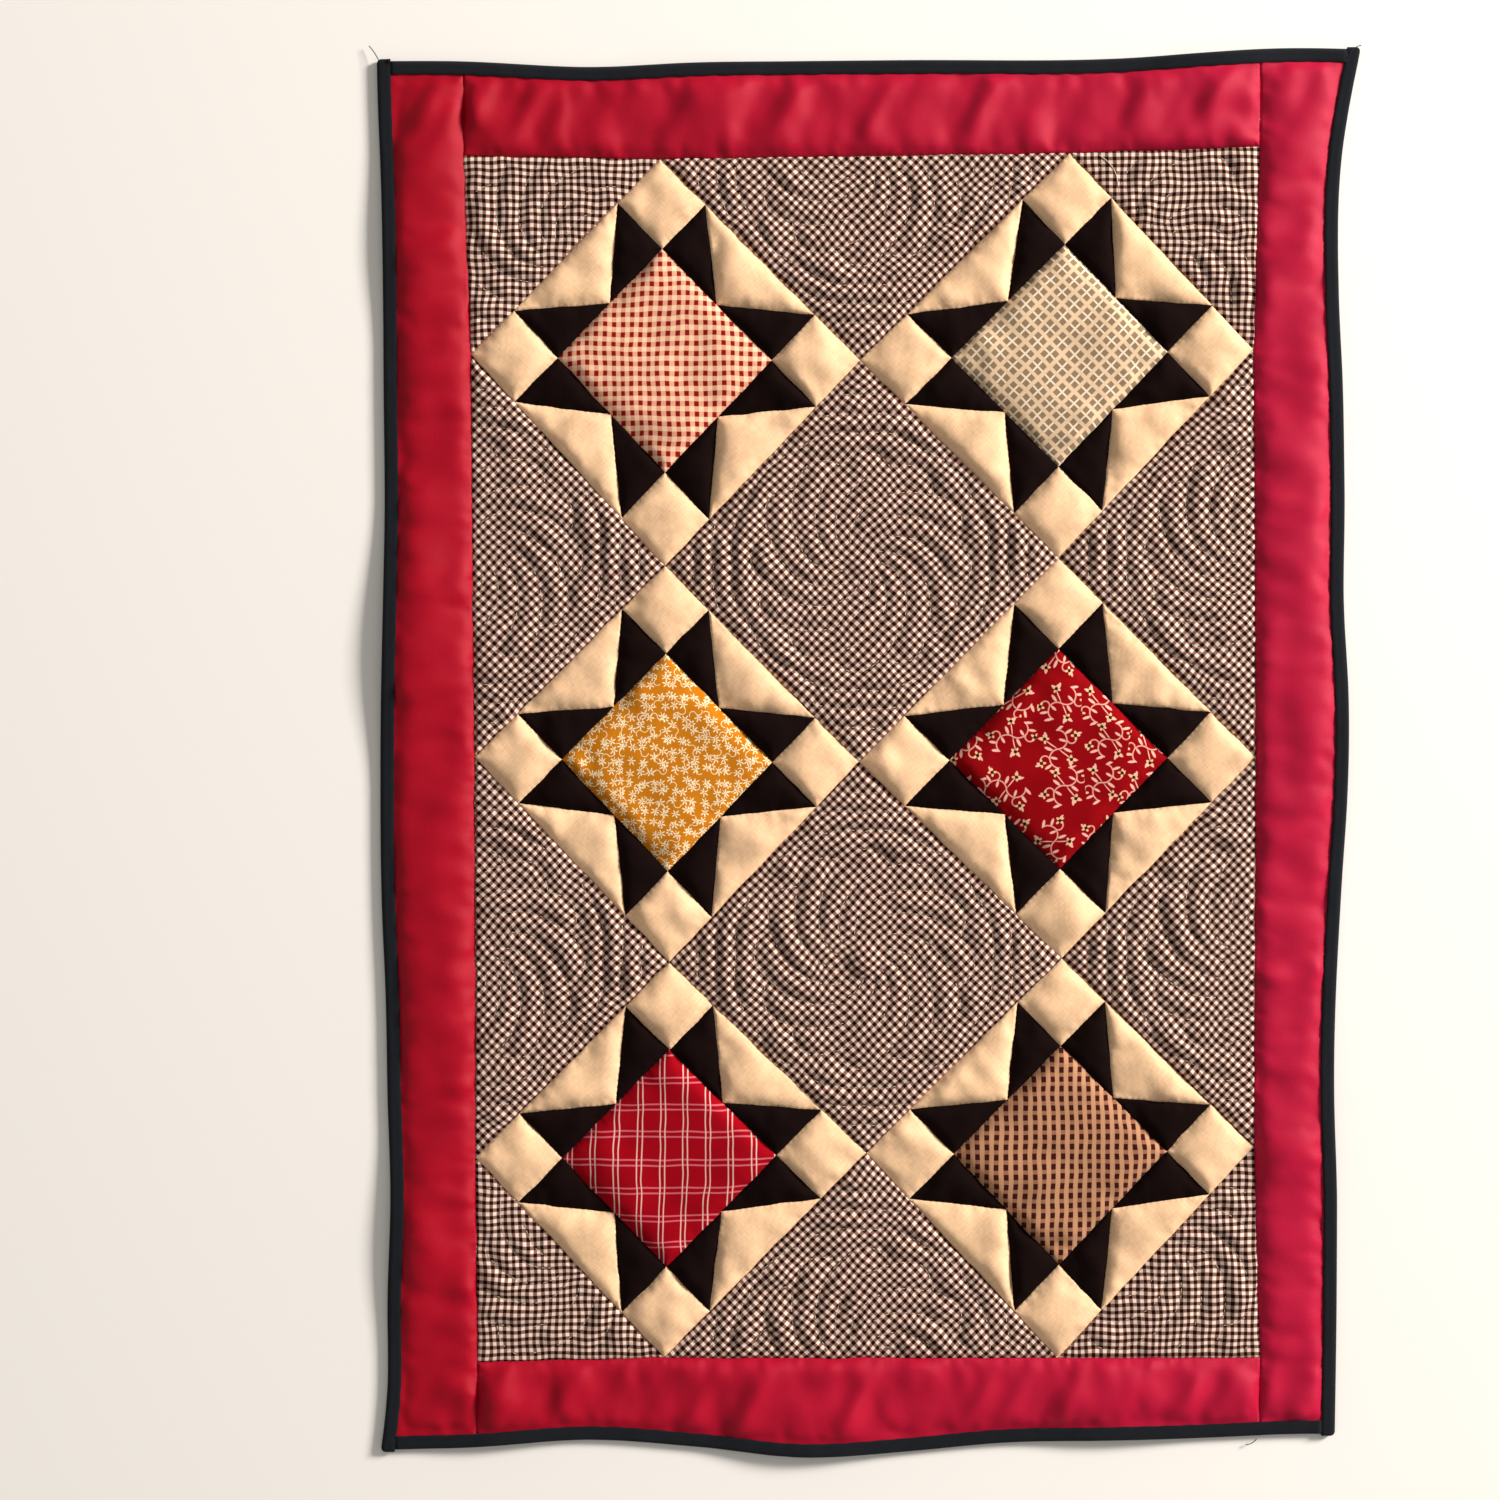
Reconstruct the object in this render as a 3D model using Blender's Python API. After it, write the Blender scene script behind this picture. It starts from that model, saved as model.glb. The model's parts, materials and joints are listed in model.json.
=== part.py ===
"""A pieced crib quilt, lying flat and face up.

Metres, +Z up. The origin is under the middle of the quilt, on the surface that it lies on. +Y runs
to the quilt's top edge and +X to its right edge, as seen from above.

From the surface up it is one quilted body (the back cloth with the filling sewn to it), the pieces
of the top that are sewn on that body, and four folded strips that bind the edge.
"""

import math

import bmesh
import bpy
import numpy as np
from mathutils.geometry import delaunay_2d_cdt

MM = 0.001
GAP = 0.3 * MM

# The even grid under the top: blocks stand on a corner, and their corners lie on this grid.
# A seven inch block has a diagonal of 251 mm. The sewn top has drawn in across and grown in length.
GRID_ACROSS = 125.0 * MM
GRID_ALONG = 127.2 * MM
GRID_COLUMNS, GRID_ROWS = 5, 7
GRID_MIDDLE = (-3.0 * MM, -4.0 * MM)

# The quilt's even outline, out to the outside of the binding.
HALF_WIDTH = 305.0 * MM
HALF_LENGTH = 440.0 * MM

# The binding: a strip folded over the edge, front and back.
BINDING_WIDTH = 8.5 * MM
BINDING_CLOTH = 0.8 * MM
BINDING_ROUND = 1.0 * MM
BINDING_EAR = 1.0 * MM
EDGE_INSET = BINDING_CLOTH + GAP

# Thicknesses: of the body, of a top piece in a seam or under stitches, and of its puffed middle.
BODY_MIDDLE = 2.2 * MM
BODY_EDGE = 1.2 * MM
TOP_SEAM = 1.0 * MM
PUFF = {"block": 2.3 * MM, "gingham": 2.3 * MM, "border": 1.9 * MM}
PUFF_REACH = 6.5 * MM
BORDER_GAP = 0.45 * MM

# The edge lies on the folded binding, and rises off the surface in a few soft waves.
LIE_FLAT_FROM = 12.0 * MM
LIE_FLAT_TO = 57.0 * MM
EDGE_REST = BINDING_CLOTH + GAP

# How finely the faces follow the folds. Every run along an edge has its points at whole stations.
STATION = 20.0 * MM
FINE_STATION = 2.5 * MM
SEAM_STEP = 13.0 * MM
STITCH_STEP = 9.5 * MM
FILL_STEP = {"block": 18.0 * MM, "gingham": 14.0 * MM, "border": 13.5 * MM}
CLEAR_OF_LINES = 5.5 * MM
MARGIN_ROWS = (12.0 * MM, 27.0 * MM, 42.0 * MM, 57.0 * MM)
ROW_SLACK = 0.5 * MM

# The star block: the width of the rim around its centre square, as a share of the block, and how
# far inside its seams a patch has its raised ring.
STAR_RIM = 0.225
PATCH_RING = 6.5 * MM

# The whirl quilted in the checked cloth: curved arms from a small hub, closed by rounded tips.
WHIRL_ARMS = 12
WHIRL_RADIUS = 62.0 * MM
WHIRL_HUB = 12.0 * MM
WHIRL_TWIST = math.radians(78)
WHIRL_TIP = 8.0 * MM
WHIRL_POINTS = 13
CREST_START = 9.0 * MM

# How near a line of stitches comes to the rim of its piece.
STITCH_CLEAR = 4.5 * MM
BINDING_SEAM_CLEAR = 2.0 * MM
SAME_POINT = 1e-7

# How far each corner of the top strays from the even grid, in mm. Rows count down from the top.
GRID_STRAY = {
    # (row, column): (across, along)
    (0, 0): (-3.7, 0.3),
    (0, 1): (-4.2, -1.5),
    (0, 3): (5.5, 2.3),
    (0, 4): (1.1, 6.1),
    (1, 0): (0.8, 1.8),
    (1, 2): (-2.2, -2.0),
    (1, 4): (-2.7, 5.0),
    (2, 1): (-1.0, -5.0),
    (2, 3): (-1.5, 0.1),
    (3, 0): (3.3, 1.0),
    (3, 2): (-2.9, -2.2),
    (3, 4): (-1.4, 1.0),
    (4, 1): (1.5, -2.0),
    (4, 3): (0.4, 0.5),
    (5, 0): (3.9, 1.4),
    (5, 2): (1.6, 4.5),
    (5, 4): (-2.6, 8.0),
    (6, 0): (5.2, -1.0),
    (6, 1): (-1.7, 1.6),
    (6, 3): (-2.1, 1.6),
    (6, 4): (1.1, 1.6),
}

# How far each edge strays outwards from the even outline: (place along the edge, outwards), in mm.
EDGE_STRAY = {
    "left": (
        (-444, 4.4), (-411, 0.6), (-348, 0.0), (-284, -2.0), (-221, 0.0), (-157, 1.2), (-94, 3.8),
        (-4, 4.5), (97, 2.5), (160, 1.9), (224, 2.5), (351, 3.8), (414, 6.3), (438, 6.9),
    ),
    "right": (
        (-434, -9.2), (-348, -8.0), (-284, -8.0), (-221, -9.9), (-157, -8.6), (-94, -5.4), (-30, -1.6),
        (33, -1.0), (97, -3.5), (160, -2.9), (224, -4.2), (287, -6.7), (382, -4.2), (421, 2.2), (446, 7.3),
    ),
    "top": (
        (-312, -1.7), (-265, -1.7), (-170, -5.5), (-107, -3.0), (20, -1.1), (147, -0.5), (211, 2.7),
        (274, 6.5), (312, 5.9),
    ),
    "bottom": (
        (-309, 2.5), (-265, 1.2), (-170, -3.9), (-107, 0.6), (-43, 6.3), (20, 3.7), (84, -2.0),
        (147, -3.9), (211, -5.2), (274, -7.7), (297, -7.7),
    ),
}

# Where the edge lifts off the surface: (side, place along it, half length, height), in mm.
LIFTS = (
    ("left", 326, 70, 2.2),
    ("left", 71, 95, 4.6),
    ("left", -304, 75, 2.8),
    ("right", 246, 75, 2.4),
    ("right", 16, 90, 3.6),
    ("right", -244, 80, 2.6),
    ("top", -118, 75, 2.6),
    ("top", 222, 62, 4.6),
    ("bottom", -233, 55, 2.4),
    ("bottom", -38, 75, 4.2),
    ("bottom", 157, 65, 2.8),
)

# Soft creases across the borders: (side, place on the inner seam, lean outwards, depth), in mm.
CREASES = (
    ("top", -229, -12, 0.9),
    ("top", -179, -18, 0.7),
    ("top", -123, -6, 0.9),
    ("top", -81, -16, 1.1),
    ("top", -19, -2, 1.2),
    ("top", 17, 14, 1.0),
    ("top", 67, 22, 1.1),
    ("top", 121, 10, 0.8),
    ("top", 167, 26, 1.1),
    ("top", 213, 22, 0.9),
    ("bottom", -199, -4, 0.8),
    ("bottom", -149, 6, 1.0),
    ("bottom", -101, 10, 0.9),
    ("bottom", -43, 4, 0.8),
    ("bottom", 5, 8, 1.0),
    ("bottom", 63, -6, 0.8),
    ("bottom", 115, 4, 1.0),
    ("bottom", 173, -8, 0.9),
    ("bottom", 219, -14, 0.8),
    ("left", 316, 20, 0.8),
    ("left", 210, -16, 0.9),
    ("left", 88, 14, 0.8),
    ("left", -38, -18, 0.9),
    ("left", -172, 22, 1.0),
    ("left", -266, -20, 1.1),
    ("right", 314, 24, 0.9),
    ("right", 202, 14, 0.8),
    ("right", 92, 28, 1.0),
    ("right", -6, -30, 1.1),
    ("right", -136, 12, 0.8),
    ("right", -250, 26, 1.0),
)
CREASE_WIDTH = 8.0 * MM
CREASE_FROM, CREASE_TO = 0.12, 0.78
CREASE_POINTS = 4

# Cloths of the six blocks' centre squares, from the top left to the bottom right.
BLOCK_PRINTS = ("red_check", "grey_lattice", "mustard_sprig", "red_vine", "red_plaid", "brown_check")

CLOTHS = {
    # name: (red, green, blue, roughness)
    "border_red": (0.45, 0.01, 0.04, 0.8),
    "binding_black": (0.016, 0.017, 0.021, 0.75),
    "gingham": (0.27, 0.2, 0.17, 0.85),
    "back_muslin": (0.72, 0.6, 0.44, 0.9),
    "red_check": (0.75, 0.4, 0.3, 0.85),
    "grey_lattice": (0.6, 0.52, 0.42, 0.85),
    "mustard_sprig": (0.7, 0.36, 0.07, 0.85),
    "red_vine": (0.42, 0.03, 0.03, 0.85),
    "red_plaid": (0.48, 0.05, 0.07, 0.85),
    "brown_check": (0.38, 0.18, 0.11, 0.85),
}


def smooth(share):
    """A share from 0 to 1, eased at both ends."""
    share = np.clip(share, 0.0, 1.0)
    return share * share * (3 - 2 * share)


def through(rows, at):
    """The height at a place on a smooth curve through rows of (place, height)."""
    places, heights = np.array(rows, float).T
    slopes = np.gradient(heights, places)
    at = np.clip(at, places[0], places[-1])
    i = np.clip(np.searchsorted(places, at, side="right") - 1, 0, len(places) - 2)
    span = places[i + 1] - places[i]
    t = (at - places[i]) / span
    rest = 1 - t
    ends = heights[i] * (1 + 2 * t) * rest**2 + heights[i + 1] * (3 - 2 * t) * t**2
    return ends + span * t * rest * (slopes[i] * rest - slopes[i + 1] * t)


def edge_place(side, along):
    """The signed place of an outer edge: X of the left or right edge at Y, or Y of the others at X."""
    out = through(EDGE_STRAY[side], np.asarray(along) / MM) * MM
    even = HALF_WIDTH if side in ("left", "right") else HALF_LENGTH
    sign = -1 if side in ("left", "bottom") else 1
    return sign * (even + out)


def inwards(side, x, y):
    """(distance in from an outer edge, place along it) of a point."""
    if side in ("left", "right"):
        return np.abs(edge_place(side, y) - x), y
    return np.abs(edge_place(side, x) - y), x


def underside(x, y):
    """The height of the body's lower face over the surface."""
    rest, lift = 0.0, 0.0
    for side in EDGE_STRAY:
        depth, along = inwards(side, x, y)
        share = 1 - smooth((depth - LIE_FLAT_FROM) / (LIE_FLAT_TO - LIE_FLAT_FROM))
        rest = np.maximum(rest, EDGE_REST * share)
        for where, place, half_length, height in LIFTS:
            if where == side:
                off = np.clip(np.abs(along / MM - place) / half_length, 0, 1)
                lift = lift + height * MM * share * np.cos(off * math.pi / 2) ** 2
    return rest + lift


def edge_distance(x, y):
    """The distance in from the nearest outer edge."""
    return np.min([inwards(side, x, y)[0] for side in EDGE_STRAY], axis=0)


def body_top(x, y):
    """The height of the body's upper face."""
    share = smooth((edge_distance(x, y) - BINDING_WIDTH) / (LIE_FLAT_TO - BINDING_WIDTH))
    return underside(x, y) + BODY_EDGE + (BODY_MIDDLE - BODY_EDGE) * share


def grid_point(row, column):
    """A corner of the top, strayed from the even grid."""
    across, along = GRID_STRAY.get((row, column), (0.0, 0.0))
    x = GRID_MIDDLE[0] + (column - (GRID_COLUMNS - 1) / 2) * GRID_ACROSS + across * MM
    y = GRID_MIDDLE[1] + ((GRID_ROWS - 1) / 2 - row) * GRID_ALONG + along * MM
    return np.array((x, y))


def is_corner(row, column):
    return row in (0, GRID_ROWS - 1) and column in (0, GRID_COLUMNS - 1)


def field_corners(row, column):
    """The corners of the field piece around a grid place, anticlockwise from the lowest one."""
    around = ((row + 1, column), (row, column + 1), (row - 1, column), (row, column - 1))
    inside = [0 <= r < GRID_ROWS and 0 <= c < GRID_COLUMNS for r, c in around]
    corners = []
    for i, place in enumerate(around):
        if inside[i]:
            corners.append(grid_point(*place))
        elif is_corner(row, column) and not inside[(i + 1) % 4]:
            corners.append(grid_point(row, column))
    return corners


def divided(start, end, step):
    """Points from start towards end, at most a step apart, without the end itself."""
    pieces = max(1, round(float(np.linalg.norm(np.subtract(end, start))) / step))
    return [start + (end - start) * i / pieces for i in range(pieces)]


def polygon(corners, step):
    """The outline through these corners, divided."""
    points = []
    for i, corner in enumerate(corners):
        points += divided(corner, corners[(i + 1) % len(corners)], step)
    return np.array(points)


def shrunk(outline, by):
    """An anticlockwise outline moved inwards by a small distance."""
    before, after = np.roll(outline, 1, axis=0), np.roll(outline, -1, axis=0)
    inward = []
    for first, second in ((before, outline), (outline, after)):
        run = second - first
        run /= np.linalg.norm(run, axis=1)[:, None]
        inward.append(np.stack((-run[:, 1], run[:, 0]), axis=1))
    middle = inward[0] + inward[1]
    return outline + 2 * by * middle / np.sum(middle**2, axis=1)[:, None]


def distance_to(lines, points):
    """The distance of each point from the nearest of these lines, which are arrays of points."""
    nearest = np.full(len(points), np.inf)
    for line in lines:
        for start, end in zip(line[:-1], line[1:]):
            run = end - start
            t = np.clip((points - start) @ run / max(run @ run, 1e-12), 0, 1)
            away = points - (start + t[:, None] * run)
            nearest = np.minimum(nearest, np.linalg.norm(away, axis=1))
    return nearest


def closed_line(outline):
    return np.vstack((outline, outline[:1]))


def is_inside(outline, points):
    """Whether each point lies inside the outline."""
    inside = np.zeros(len(points), bool)
    for (x0, y0), (x1, y1) in zip(outline, np.roll(outline, -1, axis=0)):
        crosses = (y0 > points[:, 1]) != (y1 > points[:, 1])
        rise = y1 - y0 if y1 != y0 else 1e-12
        inside ^= crosses & (points[:, 0] < x0 + (points[:, 1] - y0) * (x1 - x0) / rise)
    return inside


def kept_inside(line, outline, clear):
    """The runs of a line that lie inside an outline and clear of it."""
    fine = is_inside(outline, line) & (distance_to([closed_line(outline)], line) > clear)
    runs, run = [], []
    for point, good in zip(line, fine):
        if good:
            run.append(point)
        elif run:
            runs.append(np.array(run))
            run = []
    if run:
        runs.append(np.array(run))
    return [r for r in runs if len(r) > 1]


def scattered(outline, lines, step, clear):
    """Points on an even triangular net inside an outline, clear of it and of the lines."""
    low, high = outline.min(axis=0), outline.max(axis=0)
    rise = step * math.sqrt(3) / 2
    net = [
        (low[0] + (i + (j % 2) / 2) * step, low[1] + j * rise)
        for j in range(int((high[1] - low[1]) / rise) + 2)
        for i in range(int((high[0] - low[0]) / step) + 2)
    ]
    net = np.array(net)
    net = net[is_inside(outline, net)]
    away = distance_to([closed_line(outline), *lines], net)
    return net[away > clear]


def triangles(outline, lines=(), points=()):
    """(points, faces) of a net over an outline that keeps the lines as edges."""
    places = [tuple(p) for p in outline]
    edges = []
    for line in lines:
        first = len(places)
        places += [tuple(p) for p in line]
        edges += [(first + i, first + i + 1) for i in range(len(line) - 1)]
    places += [tuple(p) for p in points]
    rim = [list(range(len(outline)))]
    only_inside = 1
    made = delaunay_2d_cdt(places, edges, rim, only_inside, SAME_POINT)
    return np.array([tuple(p) for p in made[0]]), made[2]


def rim_of(faces):
    """The rim of a net, as one loop of its points' numbers."""
    sides = {(f[i], f[(i + 1) % 3]) for f in faces for i in range(3)}
    follow = {a: b for a, b in sides if (b, a) not in sides}
    loop = [next(iter(sorted(follow)))]
    while follow[loop[-1]] != loop[0]:
        loop.append(follow[loop[-1]])
    return loop


def solid_sheet(name, cloth, upper, lower, top_height, bottom_height):
    """One closed solid between two nets that share their rim. With no lower net, it has a flat floor."""
    bm = bmesh.new()
    points, faces = upper
    heights = top_height(points[:, 0], points[:, 1])
    tops = [bm.verts.new((x, y, z)) for (x, y), z in zip(points, heights)]
    for face in faces:
        bm.faces.new([tops[i] for i in face])
    rim = rim_of(faces)
    if lower is None:
        floors = bottom_height(points[rim, 0], points[rim, 1])
        feet = [bm.verts.new((*points[i], z)) for i, z in zip(rim, floors)]
        bm.faces.new(feet[::-1])
    else:
        low_points, low_faces = lower
        floors = bottom_height(low_points[:, 0], low_points[:, 1])
        lows = [bm.verts.new((x, y, z)) for (x, y), z in zip(low_points, floors)]
        for face in low_faces:
            bm.faces.new([lows[i] for i in reversed(face)])
        place = {tuple(np.round(low_points[i] / MM, 3)): i for i in rim_of(low_faces)}
        feet = [lows[place[tuple(np.round(points[i] / MM, 3))]] for i in rim]
    for i, top in enumerate(rim):
        j = (i + 1) % len(rim)
        bm.faces.new((tops[rim[j]], tops[top], feet[i], feet[j]))
    return finished(name, cloth, bm)


def finished(name, cloth, bm):
    """The object of a built mesh, with its cloth."""
    mesh = bpy.data.meshes.new(name)
    bm.to_mesh(mesh)
    bm.free()
    obj = bpy.data.objects.new(name, mesh)
    bpy.context.scene.collection.objects.link(obj)
    mesh.materials.append(cloth_material(cloth))
    return obj


def cloth_material(name):
    if name in bpy.data.materials:
        return bpy.data.materials[name]
    red, green, blue, roughness = CLOTHS[name]
    material = bpy.data.materials.new(name)
    material.use_nodes = True
    shader = material.node_tree.nodes["Principled BSDF"]
    shader.inputs["Base Color"].default_value = (red, green, blue, 1.0)
    shader.inputs["Roughness"].default_value = roughness
    shader.inputs["Metallic"].default_value = 0.0
    return material


def swell(kind, away):
    """How high a top piece puffs up, at a distance from where it is sewn down."""
    return PUFF[kind] * (1 - np.exp(-away / PUFF_REACH))


def field_floor(x, y):
    """Where the lower faces of the field's pieces lie: flat, on the body."""
    return np.full_like(x, BODY_MIDDLE + GAP)


def in_block(corners, u, v):
    """A place in a block, in shares along its two sides from its lowest corner."""
    down, right, up, left = corners
    return down * (1 - u) * (1 - v) + right * u * (1 - v) + up * u * v + left * (1 - u) * v


def star_patches():
    """The 17 patches of a star block, as corners in shares of its sides, anticlockwise."""
    near, middle, far = STAR_RIM, 0.5, 1 - STAR_RIM
    patches = [[(near, near), (far, near), (far, far), (near, far)]]
    rim_patches = [
        [(0, 0), (near, 0), (near, near), (0, near)],
        [(near, 0), (middle, near), (near, near)],
        [(near, 0), (far, 0), (middle, near)],
        [(far, 0), (far, near), (middle, near)],
    ]
    for _ in range(4):
        patches += rim_patches
        rim_patches = [[(1 - v, u) for u, v in patch] for patch in rim_patches]
    return patches


def star_lines(corners):
    """(the seams between the patches, the raised rings inside them) of a star block."""
    seams, rings = [], []
    for patch in star_patches():
        shape = np.array([in_block(corners, u, v) for u, v in patch])
        rings.append(closed_line(polygon(shrunk(shape, PATCH_RING), SEAM_STEP)))
        for i, start in enumerate(shape):
            end = shape[(i + 1) % len(shape)]
            if all(np.linalg.norm((start + end - line[0] - line[-1]) / 2) > MM for line in seams):
                seams.append(np.array([*divided(start, end, FINE_STATION), end]))
    return seams, rings


def whirl_lines(centre):
    """(the stitched arms and rounded tips, the raised crests between them) of a quilted whirl."""
    stitched, crests = [], []
    turn = 2 * math.pi / WHIRL_ARMS

    def place(radius, angle):
        return centre + radius * np.array((math.cos(angle), math.sin(angle)))

    def arm(start_angle, start_radius):
        radii = np.linspace(start_radius, WHIRL_RADIUS, WHIRL_POINTS)
        shares = (radii - WHIRL_HUB) / (WHIRL_RADIUS - WHIRL_HUB)
        return np.array([place(r, start_angle - WHIRL_TWIST * s) for r, s in zip(radii, shares)])

    for i in range(WHIRL_ARMS):
        stitched.append(arm(i * turn, WHIRL_HUB))
        crests.append(arm((i + 0.5) * turn, WHIRL_HUB + CREST_START))
        start = i * turn - WHIRL_TWIST
        shares = np.linspace(0, 1, WHIRL_POINTS)
        tip = [place(WHIRL_RADIUS + WHIRL_TIP * math.sin(s * math.pi), start + turn * s) for s in shares]
        stitched.append(np.array(tip))
    return stitched, crests


def respaced(line, step):
    """The same line with points about a step apart."""
    lengths = np.r_[0, np.cumsum(np.linalg.norm(np.diff(line, axis=0), axis=1))]
    count = max(2, round(lengths[-1] / step) + 1)
    at = np.linspace(0, lengths[-1], count)
    return np.stack([np.interp(at, lengths, line[:, axis]) for axis in (0, 1)], axis=1)


def runs_inside(lines, outline, step):
    """What lies inside an outline of these lines, with points about a step apart."""
    return [respaced(run, step) for line in lines for run in kept_inside(line, outline, STITCH_CLEAR)]


def whirl_centre(row, column, corners):
    """A whirl sits in the middle of a square, on a triangle's long side, or on a corner piece's seam."""
    if is_corner(row, column):
        own = grid_point(row, column)
        others = [c for c in corners if np.linalg.norm(c - own) > MM]
        return (others[0] + others[1]) / 2
    across = [grid_point(row, column + 1), grid_point(row, column - 1)]
    along = [grid_point(row + 1, column), grid_point(row - 1, column)]
    pair = along if column in (0, GRID_COLUMNS - 1) else across
    return (pair[0] + pair[1]) / 2


def add_field_piece(name, kind, cloth, row, column):
    """One square, triangle or star block of the field, puffed between its stitches."""
    corners = field_corners(row, column)
    outline = shrunk(polygon(corners, SEAM_STEP), GAP / 2)
    if kind == "block":
        stitched, crests = star_lines(corners)
        stitched = runs_inside(stitched, outline, SEAM_STEP)
    else:
        stitched, crests = whirl_lines(whirl_centre(row, column, corners))
        stitched = runs_inside(stitched, outline, STITCH_STEP)
        crests = runs_inside(crests, outline, STITCH_STEP)
    sewn = [closed_line(outline), *stitched]
    lines = stitched + crests
    fill = scattered(outline, lines, FILL_STEP[kind], CLEAR_OF_LINES)

    def height(x, y):
        away = distance_to(sewn, np.stack((x, y), axis=1))
        return field_floor(x, y) + TOP_SEAM + swell(kind, away)

    solid_sheet(name, cloth, triangles(outline, lines, fill), None, height, field_floor)


def border_seam(side):
    """The inner seam of a border, between two corners of the field."""
    last_row, last_column = GRID_ROWS - 1, GRID_COLUMNS - 1
    places = {
        "left": [(r, 0) for r in (last_row, 5, 3, 1, 0)],
        "right": [(r, last_column) for r in (last_row, 5, 3, 1, 0)],
        "top": [(0, c) for c in (0, 1, 3, last_column)],
        "bottom": [(last_row, c) for c in (0, 1, 3, last_column)],
    }
    return np.array([grid_point(*place) for place in places[side]])


def stations(start, end, step=STATION):
    """Places from start to end: the two ends, and the whole stations that are clear of them."""
    low, high = min(start, end), max(start, end)
    whole = [i * step for i in range(math.ceil(low / step), math.floor(high / step) + 1)]
    along = [low, *(place for place in whole if low + step / 4 < place < high - step / 4), high]
    return np.array(along if start < end else along[::-1])


def edge_run(side, start, end, inset, step=STATION):
    """Points on an outer edge moved in by an inset, from one place along it to another."""
    along = stations(start, end, step)
    towards = inset if side in ("left", "bottom") else -inset
    across = edge_place(side, along) + towards
    if side in ("left", "right"):
        return np.stack((across, along), axis=1)
    return np.stack((along, across), axis=1)


def edge_corner(upright, level, inset):
    """Where an upright edge meets a level one, both moved in by an inset."""
    x = edge_place(upright, 0.0)
    y = edge_place(level, x)
    for _ in range(6):
        x = edge_place(upright, y) + (inset if upright == "left" else -inset)
        y = edge_place(level, x) + (inset if level == "bottom" else -inset)
    return np.array((x, y))


def seam_run(corners):
    """A seam through its corners, divided, with its last corner."""
    runs = [divided(start, end, STATION) for start, end in zip(corners[:-1], corners[1:])]
    return np.vstack([*runs, [corners[-1]]])


def seam_to_edge(upright, level):
    """The seam from a corner of the field out to the top or bottom edge, where two borders meet."""
    corner = border_seam(upright)[-1 if level == "top" else 0]
    outwards = 1 if level == "top" else -1
    edge = edge_place(level, corner[0])
    stops = [edge - outwards * depth for depth in (BINDING_WIDTH + GAP, EDGE_INSET)]
    return seam_run([corner, *(np.array((corner[0], stop)) for stop in stops)])


def border_outline(side):
    """A border's outline, anticlockwise. The left and right borders run the whole length."""
    if side in ("left", "right"):
        foot_seam, head_seam = seam_to_edge(side, "bottom"), seam_to_edge(side, "top")
        inner = np.vstack((foot_seam[:0:-1], seam_run(border_seam(side)), head_seam[1:]))
        outer_low = edge_corner(side, "bottom", EDGE_INSET)
        outer_high = edge_corner(side, "top", EDGE_INSET)
        outer = edge_run(side, outer_low[1], outer_high[1], EDGE_INSET)
        foot = edge_run("bottom", outer_low[0], inner[0][0], EDGE_INSET)[1:-1]
        head = edge_run("top", outer_high[0], inner[-1][0], EDGE_INSET)[1:-1]
        loop = np.vstack((outer[::-1], foot, inner, head[::-1]))
        return loop if side == "left" else loop[::-1]
    left, right = seam_to_edge("left", side), seam_to_edge("right", side)
    outer = edge_run(side, left[-1][0], right[-1][0], EDGE_INSET)
    loop = np.vstack((seam_run(border_seam(side)), right[1:-1], outer[::-1], left[-2:0:-1]))
    return loop if side == "top" else loop[::-1]


def crease_lines(side):
    """(line, depth) of the creases across a border, from its inner seam outwards."""
    seam = border_seam(side)
    upright = side in ("left", "right")
    lines = []
    for where, place, lean, depth in CREASES:
        if where != side:
            continue
        start, end = place * MM, (place + lean) * MM
        if upright:
            inner = np.array((np.interp(start, seam[:, 1], seam[:, 0]), start))
            outer = np.array((edge_place(side, end), end))
        else:
            inner = np.array((start, np.interp(start, seam[:, 0], seam[:, 1])))
            outer = np.array((end, edge_place(side, end)))
        run = outer - inner
        share = np.linspace(CREASE_FROM, CREASE_TO, CREASE_POINTS)
        lines.append((inner + share[:, None] * run, depth * MM))
    return lines


def creased(creases):
    """How deep the creases dent the cloth at each point."""

    def dent(points):
        depth = np.zeros(len(points))
        for line, deepest in creases:
            away = distance_to([line], points)
            depth += deepest * np.exp(-((away / CREASE_WIDTH) ** 2))
        return depth

    return dent


def border_floor(x, y):
    return body_top(x, y) + BORDER_GAP


def margin_points(outline):
    """Points in rows along the outer edge, where the body rises to its binding."""
    rows = []
    for side in EDGE_STRAY:
        half = HALF_LENGTH if side in ("left", "right") else HALF_WIDTH
        rows += [edge_run(side, -half, half, inset) for inset in MARGIN_ROWS]
    points = np.vstack(rows)
    points = points[is_inside(outline, points)]
    depth = edge_distance(points[:, 0], points[:, 1])
    on_a_row = np.min([np.abs(depth - row) for row in MARGIN_ROWS], axis=0) < ROW_SLACK
    points = points[on_a_row & (distance_to([closed_line(outline)], points) > CLEAR_OF_LINES)]
    kept = []
    for point in points:
        if all(np.linalg.norm(point - other) > CLEAR_OF_LINES for other in kept):
            kept.append(point)
    return np.array(kept)


def around_edge(inset, step=STATION):
    """The four outer edges moved in by an inset, as runs that go round anticlockwise."""
    corners = [edge_corner(*pair, inset) for pair in
               (("left", "bottom"), ("right", "bottom"), ("right", "top"), ("left", "top"))]
    return {
        "bottom": edge_run("bottom", corners[0][0], corners[1][0], inset, step),
        "right": edge_run("right", corners[1][1], corners[2][1], inset, step),
        "top": edge_run("top", corners[2][0], corners[3][0], inset, step),
        "left": edge_run("left", corners[3][1], corners[0][1], inset, step),
    }


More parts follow.
